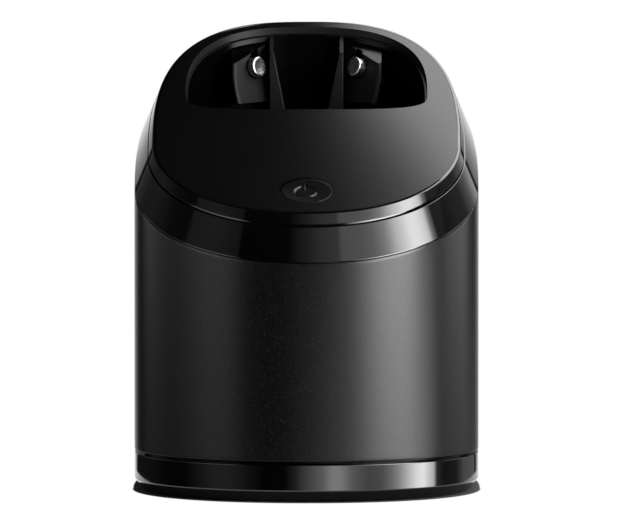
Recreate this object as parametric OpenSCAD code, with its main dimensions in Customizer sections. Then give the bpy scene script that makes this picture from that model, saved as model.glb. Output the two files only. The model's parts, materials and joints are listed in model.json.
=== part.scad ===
// Shaver cleaning station: a low base that takes a fluid cartridge from the rear,
// and a lift-up housing with a sloping top, a wash well with two charging contacts, and a pump.
// Millimetres. X runs across, Y towards the rear, Z up; the feet stand on z = 0.

/* [Body outline] */
// Width at the widest line
body_w = 122; // [116:1:134]
// From the widest line to the front
front_d = 53; // [50:0.5:60]
// From the widest line to the rear
rear_d = 90.5; // [88:0.5:98]
// Fullness of the front half of the outline, where 2 is an ellipse
front_power = 2.15; // [2.05:0.05:2.5]
// Fullness of the rear half of the outline
rear_power = 2.75; // [2.5:0.05:3.2]
// Facets round the outline
outline_points = 96; // [72:24:120]
// Wall of the casings
wall = 2.4; // [2:0.1:2.8]

/* [Stack of casings] */
// How far the rubber feet stand out below the base
foot_proud = 0.6; // [0.4:0.1:1.5]
// Height of the gloss ring round the base
base_ring_h = 12.8; // [11:0.1:14]
// Height of the chamfer under the base ring
chamfer_h = 3.7; // [2.5:0.1:4.5]
// Inset of the chamfer under the base ring
chamfer_in = 2.8; // [2:0.1:3]
// Dark groove between the base ring and the shell
base_groove = 1.3; // [0.8:0.1:2]
// Height of the shell's top seam at the widest line
seam_z = 107.3; // [104:0.1:114]
// Slope of the seams and the top, in degrees
tilt = 23.2; // [21:0.1:25]
// Height of the conical bands, from the seam up to the top plate
cone_h = 15.6; // [14.5:0.1:18]
// Height of the lower conical band
shoulder_h = 11.2; // [10:0.1:11.6]
// Groove between the two conical bands
cone_groove = 0.7; // [0.4:0.1:0.9]
// How far the cone draws in at the sides
cone_side = 6.5; // [5.5:0.1:7.5]
// How far the cone draws in at the front and rear
cone_end = 4.6; // [4:0.1:5.4]
// Thickness of the top plate
plate_t = 2.4; // [2.2:0.1:2.6]

/* [Wash well] */
// From the opening's side to the side of the top plate's cone
well_side_margin = 11.5; // [10.5:0.1:13.5]
// From the opening's rear edge to the rear of that cone
well_rear_margin = 3.9; // [3.9:0.1:6]
// From the opening's rear edge forward to its broadest place
well_rear = 46; // [45:0.5:48]
// From that place to the opening's front edge
well_front = 12.2; // [11:0.1:13]
// Fullness of the opening's front half
well_front_power = 4.4; // [4:0.1:5]
// Fullness of the opening's rear half
well_rear_power = 2.62; // [2.5:0.02:2.8]
// Height of the well's floor
well_floor_z = 110; // [108:0.5:112]
// Radius inside the round basin below the well
basin_r = 20; // [18:0.5:21]
// Depth of the basin below the well's floor
basin_depth = 24; // [20:0.5:25]

/* [Start button] */
// Diameter of the start button
button_d = 19; // [16:0.5:20]
// From the widest line forward to the button's centre
button_front = 32.7; // [31.5:0.1:33.5]
// How far the button travels
button_travel = 1; // [0.6:0.1:1]

/* [Charging contacts] */
// Diameter of a contact pin
pin_d = 7.2; // [6.6:0.1:7.4]
// How far a pin stands out of its pod
pin_proud = 3.2; // [2.6:0.1:3.6]
// How far a pin can be pressed in
pin_travel = 1.2; // [0.8:0.1:1.4]
// Half the distance between the two pins, where they leave their pods
pin_x = 18.8; // [18:0.1:20]
// From the opening's rear edge forward to where the pins leave their pods
pin_margin = 11; // [10:0.1:12]
// Drop of the pins below the top plate's surface
pin_drop = 9.2; // [8.8:0.1:10]
// Turn of each pin towards the middle, in degrees
pin_yaw = 47; // [44:1:50]
// Upward lean of each pin, in degrees
pin_lean = 14; // [12:1:17]

/* [Lift and cartridge] */
// How far the housing lifts off the base
lift_travel = 28; // [24:1:30]
// How far the lift button goes in
release_travel = 3; // [2:0.1:3]
// From the middle of the guide posts out to the body's side
guide_in = 11; // [10.8:0.1:12]
// From the middle of the guide posts in to the cartridge
cartridge_side_gap = 7; // [6.8:0.1:8]
// Top of the cartridge's lid
cartridge_top = 47.6; // [44:0.2:48]
// Wall of the cartridge
cartridge_wall = 1.8; // [1.4:0.1:2.2]

/* [Pump] */
// Outer radius of the pump housing
pump_r = 16; // [14:0.5:16.5]
// Height of the pump housing
pump_h = 13; // [11:0.5:15]
// Radius of the motor
motor_r = 12; // [10:0.5:13]
// Height of the motor
motor_h = 25; // [20:0.5:28]

/* [Hidden] */
$fn = 48;

// Small clearances between pieces
snug = 0.1;
gap = 0.3;
run = 0.05;
// How far a short cut runs past a face, and a length that reaches past every face
over = 1;
past = 200;

// Colours of the materials
satin_black = [0.10, 0.10, 0.11];
gloss_black = [0.03, 0.03, 0.035];
shell_grey = [0.20, 0.20, 0.21];
inner_black = [0.14, 0.14, 0.15];
rubber_black = [0.07, 0.07, 0.07];
steel = [0.72, 0.73, 0.75];
board_green = [0.10, 0.35, 0.20];
tank_white = [0.88, 0.88, 0.86];
hose_clear = [0.80, 0.82, 0.80];

// The widest line, placed so that the outline is centred on the origin
wide_y = (front_d - rear_d) / 2;
back_y = wide_y + rear_d;
slope = tan(tilt);
// Where the cuts through the rear wall start
rear_cut_y = back_y - 30.5;

// Base levels
ring_z = foot_proud;
ring_top = ring_z + base_ring_h;
shell_z = ring_top + base_groove;
lip_t = 1.8;
floor_t = 3.4;
floor_z = ring_z + floor_t;
tray_wall = 1.8;
tray_wall_top = shell_z + 3.8;
tray_in = wall + 2 * snug;
foot_in = wall + 3.1;

// Cone levels at the widest line
groove_low = seam_z + shoulder_h;
bezel_low = groove_low + cone_groove;
plate_z = seam_z + cone_h;
rim_w = 0.8;
ledge_in = 2.6;
neck_in = 1.4;
neck_draw = cone_side * (1 - shoulder_h / cone_h);
spigot_h = 3;

// Liner of the well, and the ribs beside its middle
lip_gap = 0.3;
well_half = body_w / 2 - cone_side - well_side_margin;
well_mid = rear_d - cone_end - well_rear_margin - well_rear;
pin_back = well_mid + well_rear - pin_margin;
liner_in = 0.8;
liner_wall = 1.8;
liner_top = plate_z - plate_t - lip_gap;
rib_top_x = 10.8;
rib_low_x = 7;
rib_back_x = 13.2;
rib_slant_low = 16;
rib_slant_high = 40;
rib_front = wide_y + pin_back - 2;

// Pods and their pins
pin_r = pin_d / 2;
pin_head = 3.2;
pod_out = 8;
pod_down = 12;
pod_drop = 1.6;
pod_bore_depth = 8;
dish_t = 1;
dish_gap = 0.45;
dish_low = 2;
dish_up = 7.6;
dish_tip = 1.4;
dish_turn = 19;
collar_r = pin_r + 1.4;

// Feet
foot_r = 6;
foot_t = 1.6;
foot_x = body_w / 2 - 27;
foot_front_y = wide_y - front_d + 25;
foot_rear_y = back_y - 28;

// Cartridge
guide_x = body_w / 2 - guide_in;
cartridge_half = guide_x - cartridge_side_gap;
bay_side_gap = 0.5;
rail_h = 0.8;
rail_w = 4;
rail_in = 8;
cartridge_z = floor_z + rail_h;
cartridge_front_in = 9.5;
lid_t = 2.4;
tub_top = cartridge_top - lid_t;
bay_half = cartridge_half + bay_side_gap;
bay_top = cartridge_top + 2 * gap;
tank_back = rear_d - 16.5;
grip_half = 16;
grip_low = 14;
grip_high = 34;
grip_depth = 10;

// Deck, its ledge in the shell, and the guide posts
ledge_z = bay_top + 2.2;
ledge_t = 3;
deck_z = ledge_z + ledge_t;
deck_t = 3;
deck_top = deck_z + deck_t;
ledge_w = 5;
deck_in = wall + gap;
guide_front_y = wide_y - 8;
guide_rear_y = wide_y + 34;
guide_spots = [[guide_x, guide_front_y], [-guide_x, guide_front_y],
  [guide_x, guide_rear_y], [-guide_x, guide_rear_y]];
post_r = 2.5;
post_foot_r = 4.4;
post_foot_h = 5;
post_thread = 8;
post_screw = 8;
washer_t = 1;
sleeve_r = 5.2;
sleeve_low = cartridge_z + 29.2;
sleeve_flange_w = 1;
lift_wire_r = 0.45;
lift_coil_r = post_r + 2 * lift_wire_r;
sleeve_flange_t = 1.6;
stop_r = 3.6;
stop_bore = stop_r + 0.2;
sleeve_step = sleeve_low + 13.5;
stop_room = 0.5;
post_top = sleeve_step + lift_travel + stop_room;
sleeve_top = post_top + 6;
screw_r = 1.2;
screw_bore = screw_r + run;
screw_head_r = 2.4;
screw_head_h = 1.6;

// Where the deck is screwed to the ledge
deck_screw_spots = [for (k = [1, 2, 4, 5]) outline(wall + 2.6, wall + 2.6)[k * outline_points / 6]];

// Drain in line with the basin, and the pump at the left front
basin_x = 0;
basin_y = wide_y + well_mid + 12;
basin_wall = 1.8;
basin_screw_out = 4.6;
basin_flange_r = basin_r + 7;
liner_floor_t = 2;
gasket_t = 1;
flange_t = 2;
gasket_z = well_floor_z - liner_floor_t - gasket_t;
flange_z = gasket_z - flange_t;
basin_floor_z = well_floor_z - basin_depth;
drain_r = 6;
drain_bore = 4.8;
pipe_flange_w = 2.2;
pipe_flange_t = 2;
nipple_r = drain_bore - run;
nipple_low = basin_floor_z - 8;
seal_low = cartridge_top + gap;
seal_proud = 1.5;
seal_w = 2.8;
pump_y = wide_y - 14;
pump_floor = 2;
pump_wall = 2;
pump_ear = 2.6;
pump_ear_t = 3;
nozzle_out = 7;
nozzle_bore = 1.5;
vane_gap = 1;
vane_t = 1.2;
pump_top = deck_top + pump_h;
pump_cover_t = 2;
motor_z = pump_top + pump_cover_t;
shaft_r = 1;
suction_r = 3.5;
suction_bore = 2.4;
hose_r = 3.6;
hose_bore = 2.5;
hose_bend = 9;
hose_z = deck_top + 8;
hose_end = 3;
hose_x = -(basin_r + basin_wall + 2 * snug + hose_end + hose_bend);
pump_x = hose_x + pump_r - hose_r - 0.4;
nozzle_z = basin_floor_z + 8;

// Latch
arm_w = 4;
catch_x = guide_x - 5;
arm_x = catch_x - arm_w - 3;
slider_t = 2.6;
slider_z = deck_top + snug;
catch_w = 4;
catch_y = wide_y + 14;
catch_d = 5;
catch_foot = 3;
catch_foot_t = 2;
nose_d = 2;
nose_z = slider_z + slider_t + gap;
nose_h = 3;
tongue_y = catch_y - nose_d - gap;
tongue_d = 4.5;
release_half = 13;
release_low = deck_top + 4;
release_h = 12;
release_lip = 2;
release_z = release_low + release_h / 2;
release_back = back_y;
release_root = release_back - 12.5;
release_flange = release_back - wall - 2.4;
guide_w = 1.4;
guide_d = 6;
slider_back = 2.5;
bar_d = 4.5;
stop_half = 4.5;
stop_t = 2.5;
stop_y = release_root - slider_back - 7.5;

// Power socket at the rear
socket_x = -30;
socket_w = 14;
socket_h = 9.4;
socket_z = deck_top + 4;
socket_depth = 16;
socket_wall = 1.4;
socket_pin_x = 3.3;
socket_pin_r = 0.9;
socket_mouth = 14;

// Boards
board_t = 1.6;
board_x = 1;
board_w = 34;
board_y = wide_y - 36;
board_d = 40;
board_z = deck_top + 5;
board_edge = 3;
board_pillar_r = 2.6;
board_grip = 4;
connector_w = 12;
connector_d = 8;
connector_h = 7;
plug_mid_x = board_x + 13;
plug_mid_y = board_y + board_d - 6;
button_gap = 0.25;
key_board_drop = 7.8;
key_board_half = 16.4;
key_board_v = 9;
key_boss_x = button_d / 2 + 4.1;
key_boss_r = 2.2;

// ---------- shared geometry ----------

// One turn of the body's outline, drawn in by side_in at the sides and end_in at the ends
function outline(side_in = 0, end_in = 0) = [
  for (i = [0 : outline_points - 1])
    let (a = 360 * i / outline_points,
         c = cos(a),
         s = sin(a),
         power = s < 0 ? front_power : rear_power,
         reach = (s < 0 ? front_d : rear_d) - end_in)
      [(body_w / 2 - side_in) * sign(c) * pow(abs(c), 2 / power),
       wide_y + reach * sign(s) * pow(abs(s), 2 / power)]
];

// The same outline as points in space, on a plane that crosses the widest line at z
function rim(side_in, end_in, z, rise) = [
  for (p = outline(side_in, end_in)) [p[0], p[1], z + rise * (p[1] - wide_y)]
];

// Outline of the well's opening, drawn in by inset
function well_outline(inset = 0) = [
  for (i = [0 : outline_points - 1])
    let (a = 360 * i / outline_points,
         c = cos(a),
         s = sin(a),
         power = s < 0 ? well_front_power : well_rear_power,
         reach = (s < 0 ? well_front : well_rear) - inset)
      [(well_half - inset) * sign(c) * pow(abs(c), 2 / power),
       wide_y + well_mid + reach * sign(s) * pow(abs(s), 2 / power)]
];

// A solid between two rims with the same number of points
module loft(lower, upper) {
  n = len(lower);
  polyhedron(
    points = concat(lower, upper),
    faces = concat(
      [[for (i = [0 : n - 1]) i]],
      [[for (i = [n - 1 : -1 : 0]) n + i]],
      [for (i = [0 : n - 1]) [i, n + i, n + (i + 1) % n]],
      [for (i = [0 : n - 1]) [i, n + (i + 1) % n, (i + 1) % n]]
    )
  );
}

// A piece of the cone between two heights above the seam, drawn in by inset
module cone_solid(low, high, inset = 0) {
  loft(
    rim(cone_side * low / cone_h + inset, cone_end * low / cone_h + inset, seam_z + low, slope),
    rim(cone_side * high / cone_h + inset, cone_end * high / cone_h + inset, seam_z + high, slope)
  );
}

// An upright solid of the body's outline
module prism(inset, low, high) {
  translate([0, 0, low])
    linear_extrude(high - low)
      polygon(outline(inset, inset));
}

// An upright wall of the body's outline
module ring_wall(outer_in, inner_in, low, high) {
  difference() {
    prism(outer_in, low, high);
    prism(inner_in, low - over, high + over);
  }
}

// An upright solid of the cone's outline at its top
module cone_prism(inset, low, high) {
  translate([0, 0, low])
    linear_extrude(high - low)
      polygon(outline(cone_side + inset, cone_end + inset));
}

// An upright solid of the well's outline
module well_prism(inset, low, high) {
  translate([0, 0, low])
    linear_extrude(high - low)
      polygon(well_outline(inset));
}

// Everything below the sloping plane that crosses the widest line at z
module below_slope(z) {
  translate([0, wide_y, z])
    rotate([tilt, 0, 0])
      translate([-past, -past, -2 * past])
        cube(2 * past);
}

// Everything above that plane
module above_slope(z) {
  translate([0, wide_y, z])
    rotate([tilt, 0, 0])
      translate([-past, -past, 0])
        cube(2 * past);
}

// A block given by its two corners
module block(low, high) {
  translate(low)
    cube(high - low);
}

// An upright cylinder between two heights
module rod(x, y, low, high, r) {
  translate([x, y, low])
    cylinder(h = high - low, r = r);
}

// An upright tube between two heights
module pipe(x, y, low, high, r, bore) {
  difference() {
    rod(x, y, low, high, r);
    rod(x, y, low - over, high + over, bore);
  }
}

// A screw with its head at the bottom and its shank upward
module screw_up(x, y, head_z, shank) {
  rod(x, y, head_z, head_z + screw_head_h, screw_head_r);
  rod(x, y, head_z + screw_head_h, head_z + screw_head_h + shank, screw_r);
}

// A screw with its head on a face at seat_z and its shank downward
module screw_down(x, y, seat_z, shank) {
  rod(x, y, seat_z, seat_z + screw_head_h, screw_head_r);
  rod(x, y, seat_z - shank, seat_z, screw_r);
}

// A round-wire coil spring that stands on z = 0
module coil(mean_r, wire_r, height, turns) {
  sides = 6;
  steps = 10;
  count = turns * steps;
  rise = (height - 2 * wire_r) / count;
  points = [
    for (i = [0 : count], k = [0 : sides - 1])
      let (turn = 360 * i / steps,
           side = 360 * k / sides,
           r = mean_r + wire_r * cos(side))
        [r * cos(turn), r * sin(turn), wire_r + rise * i + wire_r * sin(side)]
  ];
  faces = concat(
    [[for (k = [0 : sides - 1]) k]],
    [[for (k = [sides - 1 : -1 : 0]) count * sides + k]],
    [for (i = [0 : count - 1], k = [0 : sides - 1])
      let (a = i * sides + k, b = i * sides + (k + 1) % sides)
        [a, a + sides, b + sides]],
    [for (i = [0 : count - 1], k = [0 : sides - 1])
      let (a = i * sides + k, b = i * sides + (k + 1) % sides)
        [a, b + sides, b]]
  );
  polyhedron(points = points, faces = faces);
}

// Places children on the top plate at the start button, with z square to the plate
module at_button() {
  translate([0, wide_y - button_front, plate_z - button_front * slope])
    rotate([tilt, 0, 0])
      children();
}

// Places children where a contact pin leaves its pod, with z along the pin
module at_pin(side) {
  translate([side * pin_x, wide_y + pin_back, plate_z + pin_back * slope - pin_drop])
    rotate([0, 0, side * -pin_yaw])
      rotate([90 - pin_lean, 0, 0])
        children();
}

// ---------- base ----------

module base_tray() {
  color(inner_black)
    difference() {
      union() {
        prism(foot_in, ring_z, ring_z + lip_t + snug);
        prism(tray_in, ring_z + lip_t + snug, floor_z);
        ring_wall(tray_in, tray_in + tray_wall, floor_z, tray_wall_top);
        for (side = [-1, 1])
          block([side * (cartridge_half - rail_in) - rail_w / 2, wide_y - 20, floor_z],
                [side * (cartridge_half - rail_in) + rail_w / 2, back_y - 20.5, cartridge_z]);
      }
      cartridge_bay(floor_z);
      for (x = [-foot_x, foot_x], y = [foot_front_y, foot_rear_y])
        rod(x, y, ring_z - over, foot_t, foot_r + snug);
      for (spot = guide_spots) {
        rod(spot[0], spot[1], ring_z - over, floor_z + over, screw_bore);
        rod(spot[0], spot[1], ring_z - over, ring_z + screw_head_h + snug, screw_head_r + snug);
      }
    }
}

// The way out at the rear for the cartridge, from the given height up
module cartridge_bay(low) {
  block([-bay_half, rear_cut_y, low], [bay_half, wide_y + past, bay_top]);
}

module base_ring() {
  color(gloss_black)
    difference() {
      union() {
        loft(rim(chamfer_in, chamfer_in, ring_z, 0), rim(0, 0, ring_z + chamfer_h, 0));
        prism(0, ring_z + chamfer_h, ring_top);
      }
      prism(foot_in - snug, ring_z - over, ring_z + lip_t + over);
      prism(tray_in - snug, ring_z + lip_t, ring_top + over);
      cartridge_bay(floor_z);
    }
}

module rubber_feet() {
  color(rubber_black)
    for (x = [-foot_x, foot_x], y = [foot_front_y, foot_rear_y])
      rod(x, y, 0, foot_t, foot_r);
}

module guide_posts() {
  color(steel)
    for (spot = guide_spots)
      difference() {
        union() {
          rod(spot[0], spot[1], floor_z, floor_z + post_foot_h, post_foot_r);
          rod(spot[0], spot[1], floor_z, post_top, post_r);
        }
        rod(spot[0], spot[1], floor_z - over, floor_z + post_thread, screw_bore);
        rod(spot[0], spot[1], post_top - post_thread, post_top + over, screw_bore);
      }
}

module post_base_screws() {
  color(steel)
    for (spot = guide_spots)
      screw_up(spot[0], spot[1], ring_z + snug, post_screw - 1);
}

module post_stop_screws() {
  color(steel)
    for (spot = guide_spots) {
      rod(spot[0], spot[1], post_top, post_top + washer_t, stop_r);
      screw_down(spot[0], spot[1], post_top + washer_t, post_screw - washer_t);
    }
}

module latch_catches() {
  color(steel)
    for (side = [-1, 1]) {
      inner = side > 0 ? catch_x : -catch_x - catch_w;
      block([inner, catch_y, floor_z], [inner + catch_w, catch_y + catch_d, nose_z + nose_h]);
      block([inner, catch_y - nose_d, nose_z], [inner + catch_w, catch_y, nose_z + nose_h]);
      block([inner, catch_y - catch_foot, floor_z],
            [inner + catch_w, catch_y + catch_d + catch_foot, floor_z + catch_foot_t]);
    }
}

module lift_springs() {
  spring_low = floor_z + post_foot_h + run;
  color(steel)
    for (spot = guide_spots)
      translate([spot[0], spot[1], spring_low])
        coil(lift_coil_r, lift_wire_r, sleeve_low - run - spring_low, 6);
}

// ---------- housing ----------

// Holes through the ledge or deck for the sleeves and the catches
module sleeve_holes(low, high) {
  for (spot = guide_spots)
    rod(spot[0], spot[1], low, high, sleeve_r + gap);
}

// Slots for the two catches
module catch_slots(low, high) {
  for (side = [-1, 1]) {
    inner = side > 0 ? catch_x : -catch_x - catch_w;
    block([inner - gap, catch_y - nose_d - gap, low],
          [inner + catch_w + gap, catch_y + catch_d + gap, high]);
  }
}

module outer_shell() {
  color(shell_grey)
    difference() {
      intersection() {
        ring_wall(0, wall, shell_z, seam_z + past);
        below_slope(seam_z);
      }
      cartridge_bay(shell_z - over);
      block([-release_half - gap, rear_cut_y, release_low - gap],
            [release_half + gap, wide_y + past, release_low + release_h + gap]);
      block([socket_x - socket_w / 2 - snug, rear_cut_y, socket_z - snug],
            [socket_x + socket_w / 2 + snug, wide_y + past, socket_z + socket_h + snug]);
    }
}

// A ring bonded inside the shell, which the deck is screwed to
module shell_ledge() {
  color(inner_black)
    difference() {
      ring_wall(wall, wall + ledge_w, ledge_z, deck_z);
      sleeve_holes(ledge_z - over, deck_z + over);
      for (spot = deck_screw_spots)
        rod(spot[0], spot[1], ledge_z - over, deck_z + over, screw_bore);
    }
}

// The sleeves that run on the guide posts, each with a flange on the deck
module guide_sleeves() {
  color(inner_black)
    for (spot = guide_spots)
      difference() {
        union() {
          rod(spot[0], spot[1], sleeve_low, sleeve_top, sleeve_r);
          rod(spot[0], spot[1], deck_top, deck_top + sleeve_flange_t, sleeve_r + sleeve_flange_w);
        }
        rod(spot[0], spot[1], sleeve_low - over, sleeve_step + over, post_r + run);
        rod(spot[0], spot[1], sleeve_step, sleeve_top + over, stop_bore);
      }
}

module chassis_deck() {
  color(inner_black)
    difference() {
      union() {
        prism(deck_in, deck_z, deck_top);
        board_corners()
          rod(0, 0, deck_z, board_z, board_pillar_r);
        for (side = [-1, 1], y = [catch_y + 10, catch_y + 32],
             x = [arm_x - guide_w, arm_x + arm_w + guide_w])
          block([side * x - guide_w + snug, y, deck_z],
                [side * x + guide_w - snug, y + guide_d, slider_z + slider_t]);
        block([-stop_half, stop_y, deck_z], [stop_half, stop_y + stop_t, release_z + 5]);
        block([socket_x - 5, back_y - 24.5, deck_z], [socket_x + 5, back_y - 19.5, socket_z]);
      }
      for (spot = guide_spots)
        rod(spot[0], spot[1], deck_z - over, deck_top + over, sleeve_r + snug);
      catch_slots(deck_z - over, deck_top + over);
      for (spot = deck_screw_spots)
        rod(spot[0], spot[1], deck_z - over, deck_top + over, screw_bore);
      board_corners()
        rod(0, 0, deck_z + over, board_z + over, screw_bore);
      rod(basin_x, basin_y, deck_z - over, deck_top + over, drain_r + snug);
      rod(pump_x, pump_y, deck_z - over, deck_top + over, suction_r + snug);
      pump_screw_places()
        rod(0, 0, deck_z - over, deck_top + over, screw_bore);
    }
}

module deck_screws() {
  color(steel)
    for (spot = deck_screw_spots)
      screw_up(spot[0], spot[1], ledge_z - screw_head_h, ledge_t + deck_t - 0.6);
}

module shoulder_ring() {
  neck_out = neck_in - neck_draw;
  color(gloss_black) {
    difference() {
      cone_solid(0, shoulder_h);
      cone_solid(-over, shoulder_h + over, wall);
    }
    intersection() {
      ring_wall(wall + snug, 2 * wall, seam_z - past, seam_z + past);
      below_slope(seam_z + 2);
      above_slope(seam_z - spigot_h);
    }
    intersection() {
      difference() {
        cone_prism(neck_out, 0, past);
        cone_prism(neck_out + 2, -over, past + over);
      }
      below_slope(bezel_low);
      above_slope(groove_low - 2);
    }
  }
}

module cover_bezel() {
  color(gloss_black)
    difference() {
      cone_solid(shoulder_h + cone_groove, cone_h);
      intersection() {
        cone_prism(rim_w, 0, past);
        above_slope(plate_z - plate_t);
      }
      cone_prism(ledge_in, 0, past);
      well_prism(liner_in - liner_wall - snug, 0, past);
    }
}

module top_plate() {
  color(satin_black) {
    difference() {
      intersection() {
        cone_prism(rim_w + snug, 0, past);
        below_slope(plate_z);
        above_slope(plate_z - plate_t);
      }
      well_prism(0, 0, past);
      at_button()
        rod(0, 0, -plate_t - over, over, button_d / 2 + button_gap);
    }
    at_button()
      for (side = [-1, 1])
        pipe(side * key_boss_x, 0, -key_board_drop, -plate_t / 2, key_boss_r, screw_bore);
  }
}

// ---------- wash well ----------

module recess_liner() {
  color(gloss_black)
    difference() {
      union() {
        intersection() {
          difference() {
            well_prism(liner_in - liner_wall, well_floor_z - liner_floor_t, well_floor_z + past);
            well_prism(liner_in, well_floor_z, well_floor_z + past);
          }
          below_slope(liner_top);
        }
        intersection() {
          liner_ribs();
          well_prism(liner_in - liner_wall / 2, well_floor_z, well_floor_z + past);
          below_slope(liner_top - 1.2);
        }
      }
      rod(basin_x, basin_y, well_floor_z - 5, well_floor_z + over, basin_r);
      basin_screw_places()
        rod(0, 0, well_floor_z - 5, well_floor_z - liner_floor_t + 1.4, screw_bore);
      for (side = [-1, 1])
        at_pin(side)
          rod(0, 0, -past / 2, 0, collar_r + snug);
      block([-rib_low_x, wide_y + well_mid, well_floor_z + 6],
            [rib_low_x, wide_y + well_mid + well_rear - liner_in + 0.6, liner_top + 30]);
    }
}

// The two ribs beside the well's middle, which lean inward towards the floor
module liner_ribs() {
  for (side = [-1, 1])
    translate([0, wide_y + past, 0])
      rotate([90, 0, 0])
        linear_extrude(wide_y + past - rib_front)
          polygon([
            [side * rib_back_x, well_floor_z - over], [side * rib_back_x, well_floor_z + past],
            [side * rib_top_x, well_floor_z + past], [side * rib_top_x, well_floor_z + rib_slant_high],
            [side * rib_low_x, well_floor_z + rib_slant_low], [side * rib_low_x, well_floor_z - over]
          ]);
}

// A pod beside a rib that guides one contact pin; its face is square to the pin
module contact_pod(side) {
  pod_low = plate_z + pin_back * slope - pin_drop - pod_down;
  pod_in = rib_back_x + gap;
  color(satin_black)
    difference() {
      union() {
        intersection() {
          translate([side > 0 ? pod_in : -pin_x - pod_out, wide_y, pod_low])
            cube([pin_x + pod_out - pod_in, past, past]);
          at_pin(side)
            block([-past, -past, -past], [past, past, 0]);
          well_prism(liner_in + snug, well_floor_z, well_floor_z + past);
          below_slope(liner_top - pod_drop);
        }
        at_pin(side)
          rod(0, 0, -pod_bore_depth - 1.6, -over, collar_r);
      }
      at_pin(side) {
        rod(0, 0, -pod_bore_depth, over, pin_r + run);
        rod(0, 0, -2 * pod_bore_depth, over, screw_r + run);
        rod(0, 0, -dish_t, over, pin_r + dish_gap);
        translate([0, 0, -dish_t])
          rotate([0, 0, side * dish_turn])
            linear_extrude(dish_t + over)
              polygon([[snug - pin_r, dish_low], [-dish_tip, dish_up],
                [dish_tip, dish_up], [pin_r - snug, dish_low]]);
      }
    }
}

module contact_pod_left() {
  contact_pod(-1);
}

module contact_pod_right() {
  contact_pod(1);
}

// A contact pin with the tail that carries its spring
module contact_pin(side) {
  color(steel)
    at_pin(side) {
      rod(0, 0, -pin_head, pin_proud, pin_r);
      rod(0, 0, -pod_bore_depth - 0.8, -pin_head, screw_r);
    }
}

module contact_left() {
  contact_pin(-1);
}

module contact_right() {
  contact_pin(1);
}

// The spring behind one contact pin
module contact_spring(side) {
  color(steel)
    at_pin(side)
      translate([0, 0, -pod_bore_depth + run])
        coil(pin_r - 1, 0.4, pod_bore_depth - pin_head - 2 * run, 3);
}

module contact_spring_left() {
  contact_spring(-1);
}

module contact_spring_right() {
  contact_spring(1);
}

module basin_screw_places() {
  for (turn = [45, 135, 225, 315])
    translate([basin_x, basin_y, 0])
      rotate([0, 0, turn])
        translate([basin_r + basin_screw_out, 0, 0])
          children();
}

module basin_gasket() {
  color(rubber_black)
    difference() {
      pipe(basin_x, basin_y, gasket_z, gasket_z + gasket_t, basin_flange_r, basin_r);
      basin_screw_places()
        rod(0, 0, gasket_z - over, gasket_z + gasket_t + over, screw_bore);
    }
}

// A round bowl with sides that draw in towards the drain
module wash_basin() {
  neck_r = drain_bore - 1.4;
  slant_z = basin_floor_z + 7;
  color(gloss_black)
    difference() {
      union() {
        translate([basin_x, basin_y, 0])
          rotate_extrude()
            polygon([
              [neck_r, nipple_low], [nipple_r, nipple_low], [nipple_r, basin_floor_z - basin_wall],
              [basin_r * 0.55 + basin_wall, basin_floor_z - basin_wall],
              [basin_r + basin_wall, slant_z - basin_wall], [basin_r + basin_wall, flange_z],
              [basin_flange_r, flange_z], [basin_flange_r, flange_z + flange_t],
              [basin_r, flange_z + flange_t], [basin_r, slant_z], [basin_r * 0.55, basin_floor_z],
              [neck_r, basin_floor_z]
            ]);
        translate([basin_x, basin_y, nozzle_z])
          rotate([0, -90, 0])
            cylinder(h = -hose_x - hose_bend, r = hose_bore - run);
      }
      basin_screw_places()
        rod(0, 0, flange_z - over, flange_z + flange_t + over, screw_bore);
      rod(basin_x, basin_y, slant_z, flange_z, basin_r);
      translate([basin_x, basin_y, nozzle_z])
        rotate([0, -90, 0])
          cylinder(h = past, r = nozzle_bore);
    }
}

module basin_screws() {
  color(steel)
    basin_screw_places()
      screw_up(0, 0, flange_z - screw_head_h, flange_t + gasket_t + 1);
}

// ---------- fluid path ----------

module drain_pipe() {
  color(inner_black)
    difference() {
      union() {
        rod(basin_x, basin_y, seal_low + seal_proud, basin_floor_z - basin_wall - gap, drain_r);
        rod(basin_x, basin_y, deck_top, deck_top + pipe_flange_t, drain_r + pipe_flange_w);
      }
      rod(basin_x, basin_y, 0, past, drain_bore);
    }
}

module drain_seal() {
  color(rubber_black)
    pipe(basin_x, basin_y, seal_low, deck_z, drain_r + seal_w, drain_r + snug);
}

module suction_tube() {
  color(inner_black)
    pipe(pump_x, pump_y, seal_low + seal_proud, deck_top + pump_floor, suction_r, suction_bore);
}

module suction_seal() {
  color(rubber_black)
    pipe(pump_x, pump_y, seal_low, deck_z, suction_r + seal_w, suction_r + snug);
}

module pump_screw_places() {
  for (turn = [20, 290, 250])
    translate([pump_x, pump_y, 0])
      rotate([0, 0, turn])
        translate([pump_r + pump_ear, 0, 0])
          children();
}

module pump_housing() {
  color(inner_black)
    difference() {
      union() {
        rod(pump_x, pump_y, deck_top, pump_top, pump_r);
        pump_screw_places()
          rod(0, 0, deck_top, deck_top + pump_ear_t, pump_ear + 0.8);
        translate([hose_x, pump_y, hose_z])
          rotate([-90, 0, 0])
            cylinder(h = pump_r + nozzle_out, r = hose_bore - run);
      }
      rod(pump_x, pump_y, deck_top + pump_floor, pump_top + over, pump_r - pump_wall);
      rod(pump_x, pump_y, deck_top - over, deck_top + pump_floor + over, suction_r + snug);
      pump_screw_places()
        rod(0, 0, deck_top - over, deck_top + pump_ear_t + over, screw_bore);
      translate([hose_x, pump_y, hose_z])
        rotate([-90, 0, 0])
          cylinder(h = past, r = nozzle_bore);
    }
}

module pump_screws() {
  color(steel)
    pump_screw_places()
      screw_down(0, 0, deck_top + pump_ear_t, pump_ear_t + deck_t - 0.4);
}

module pump_cover() {
  color(inner_black)
    pipe(pump_x, pump_y, pump_top, motor_z, pump_r, shaft_r + run);
}

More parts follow.
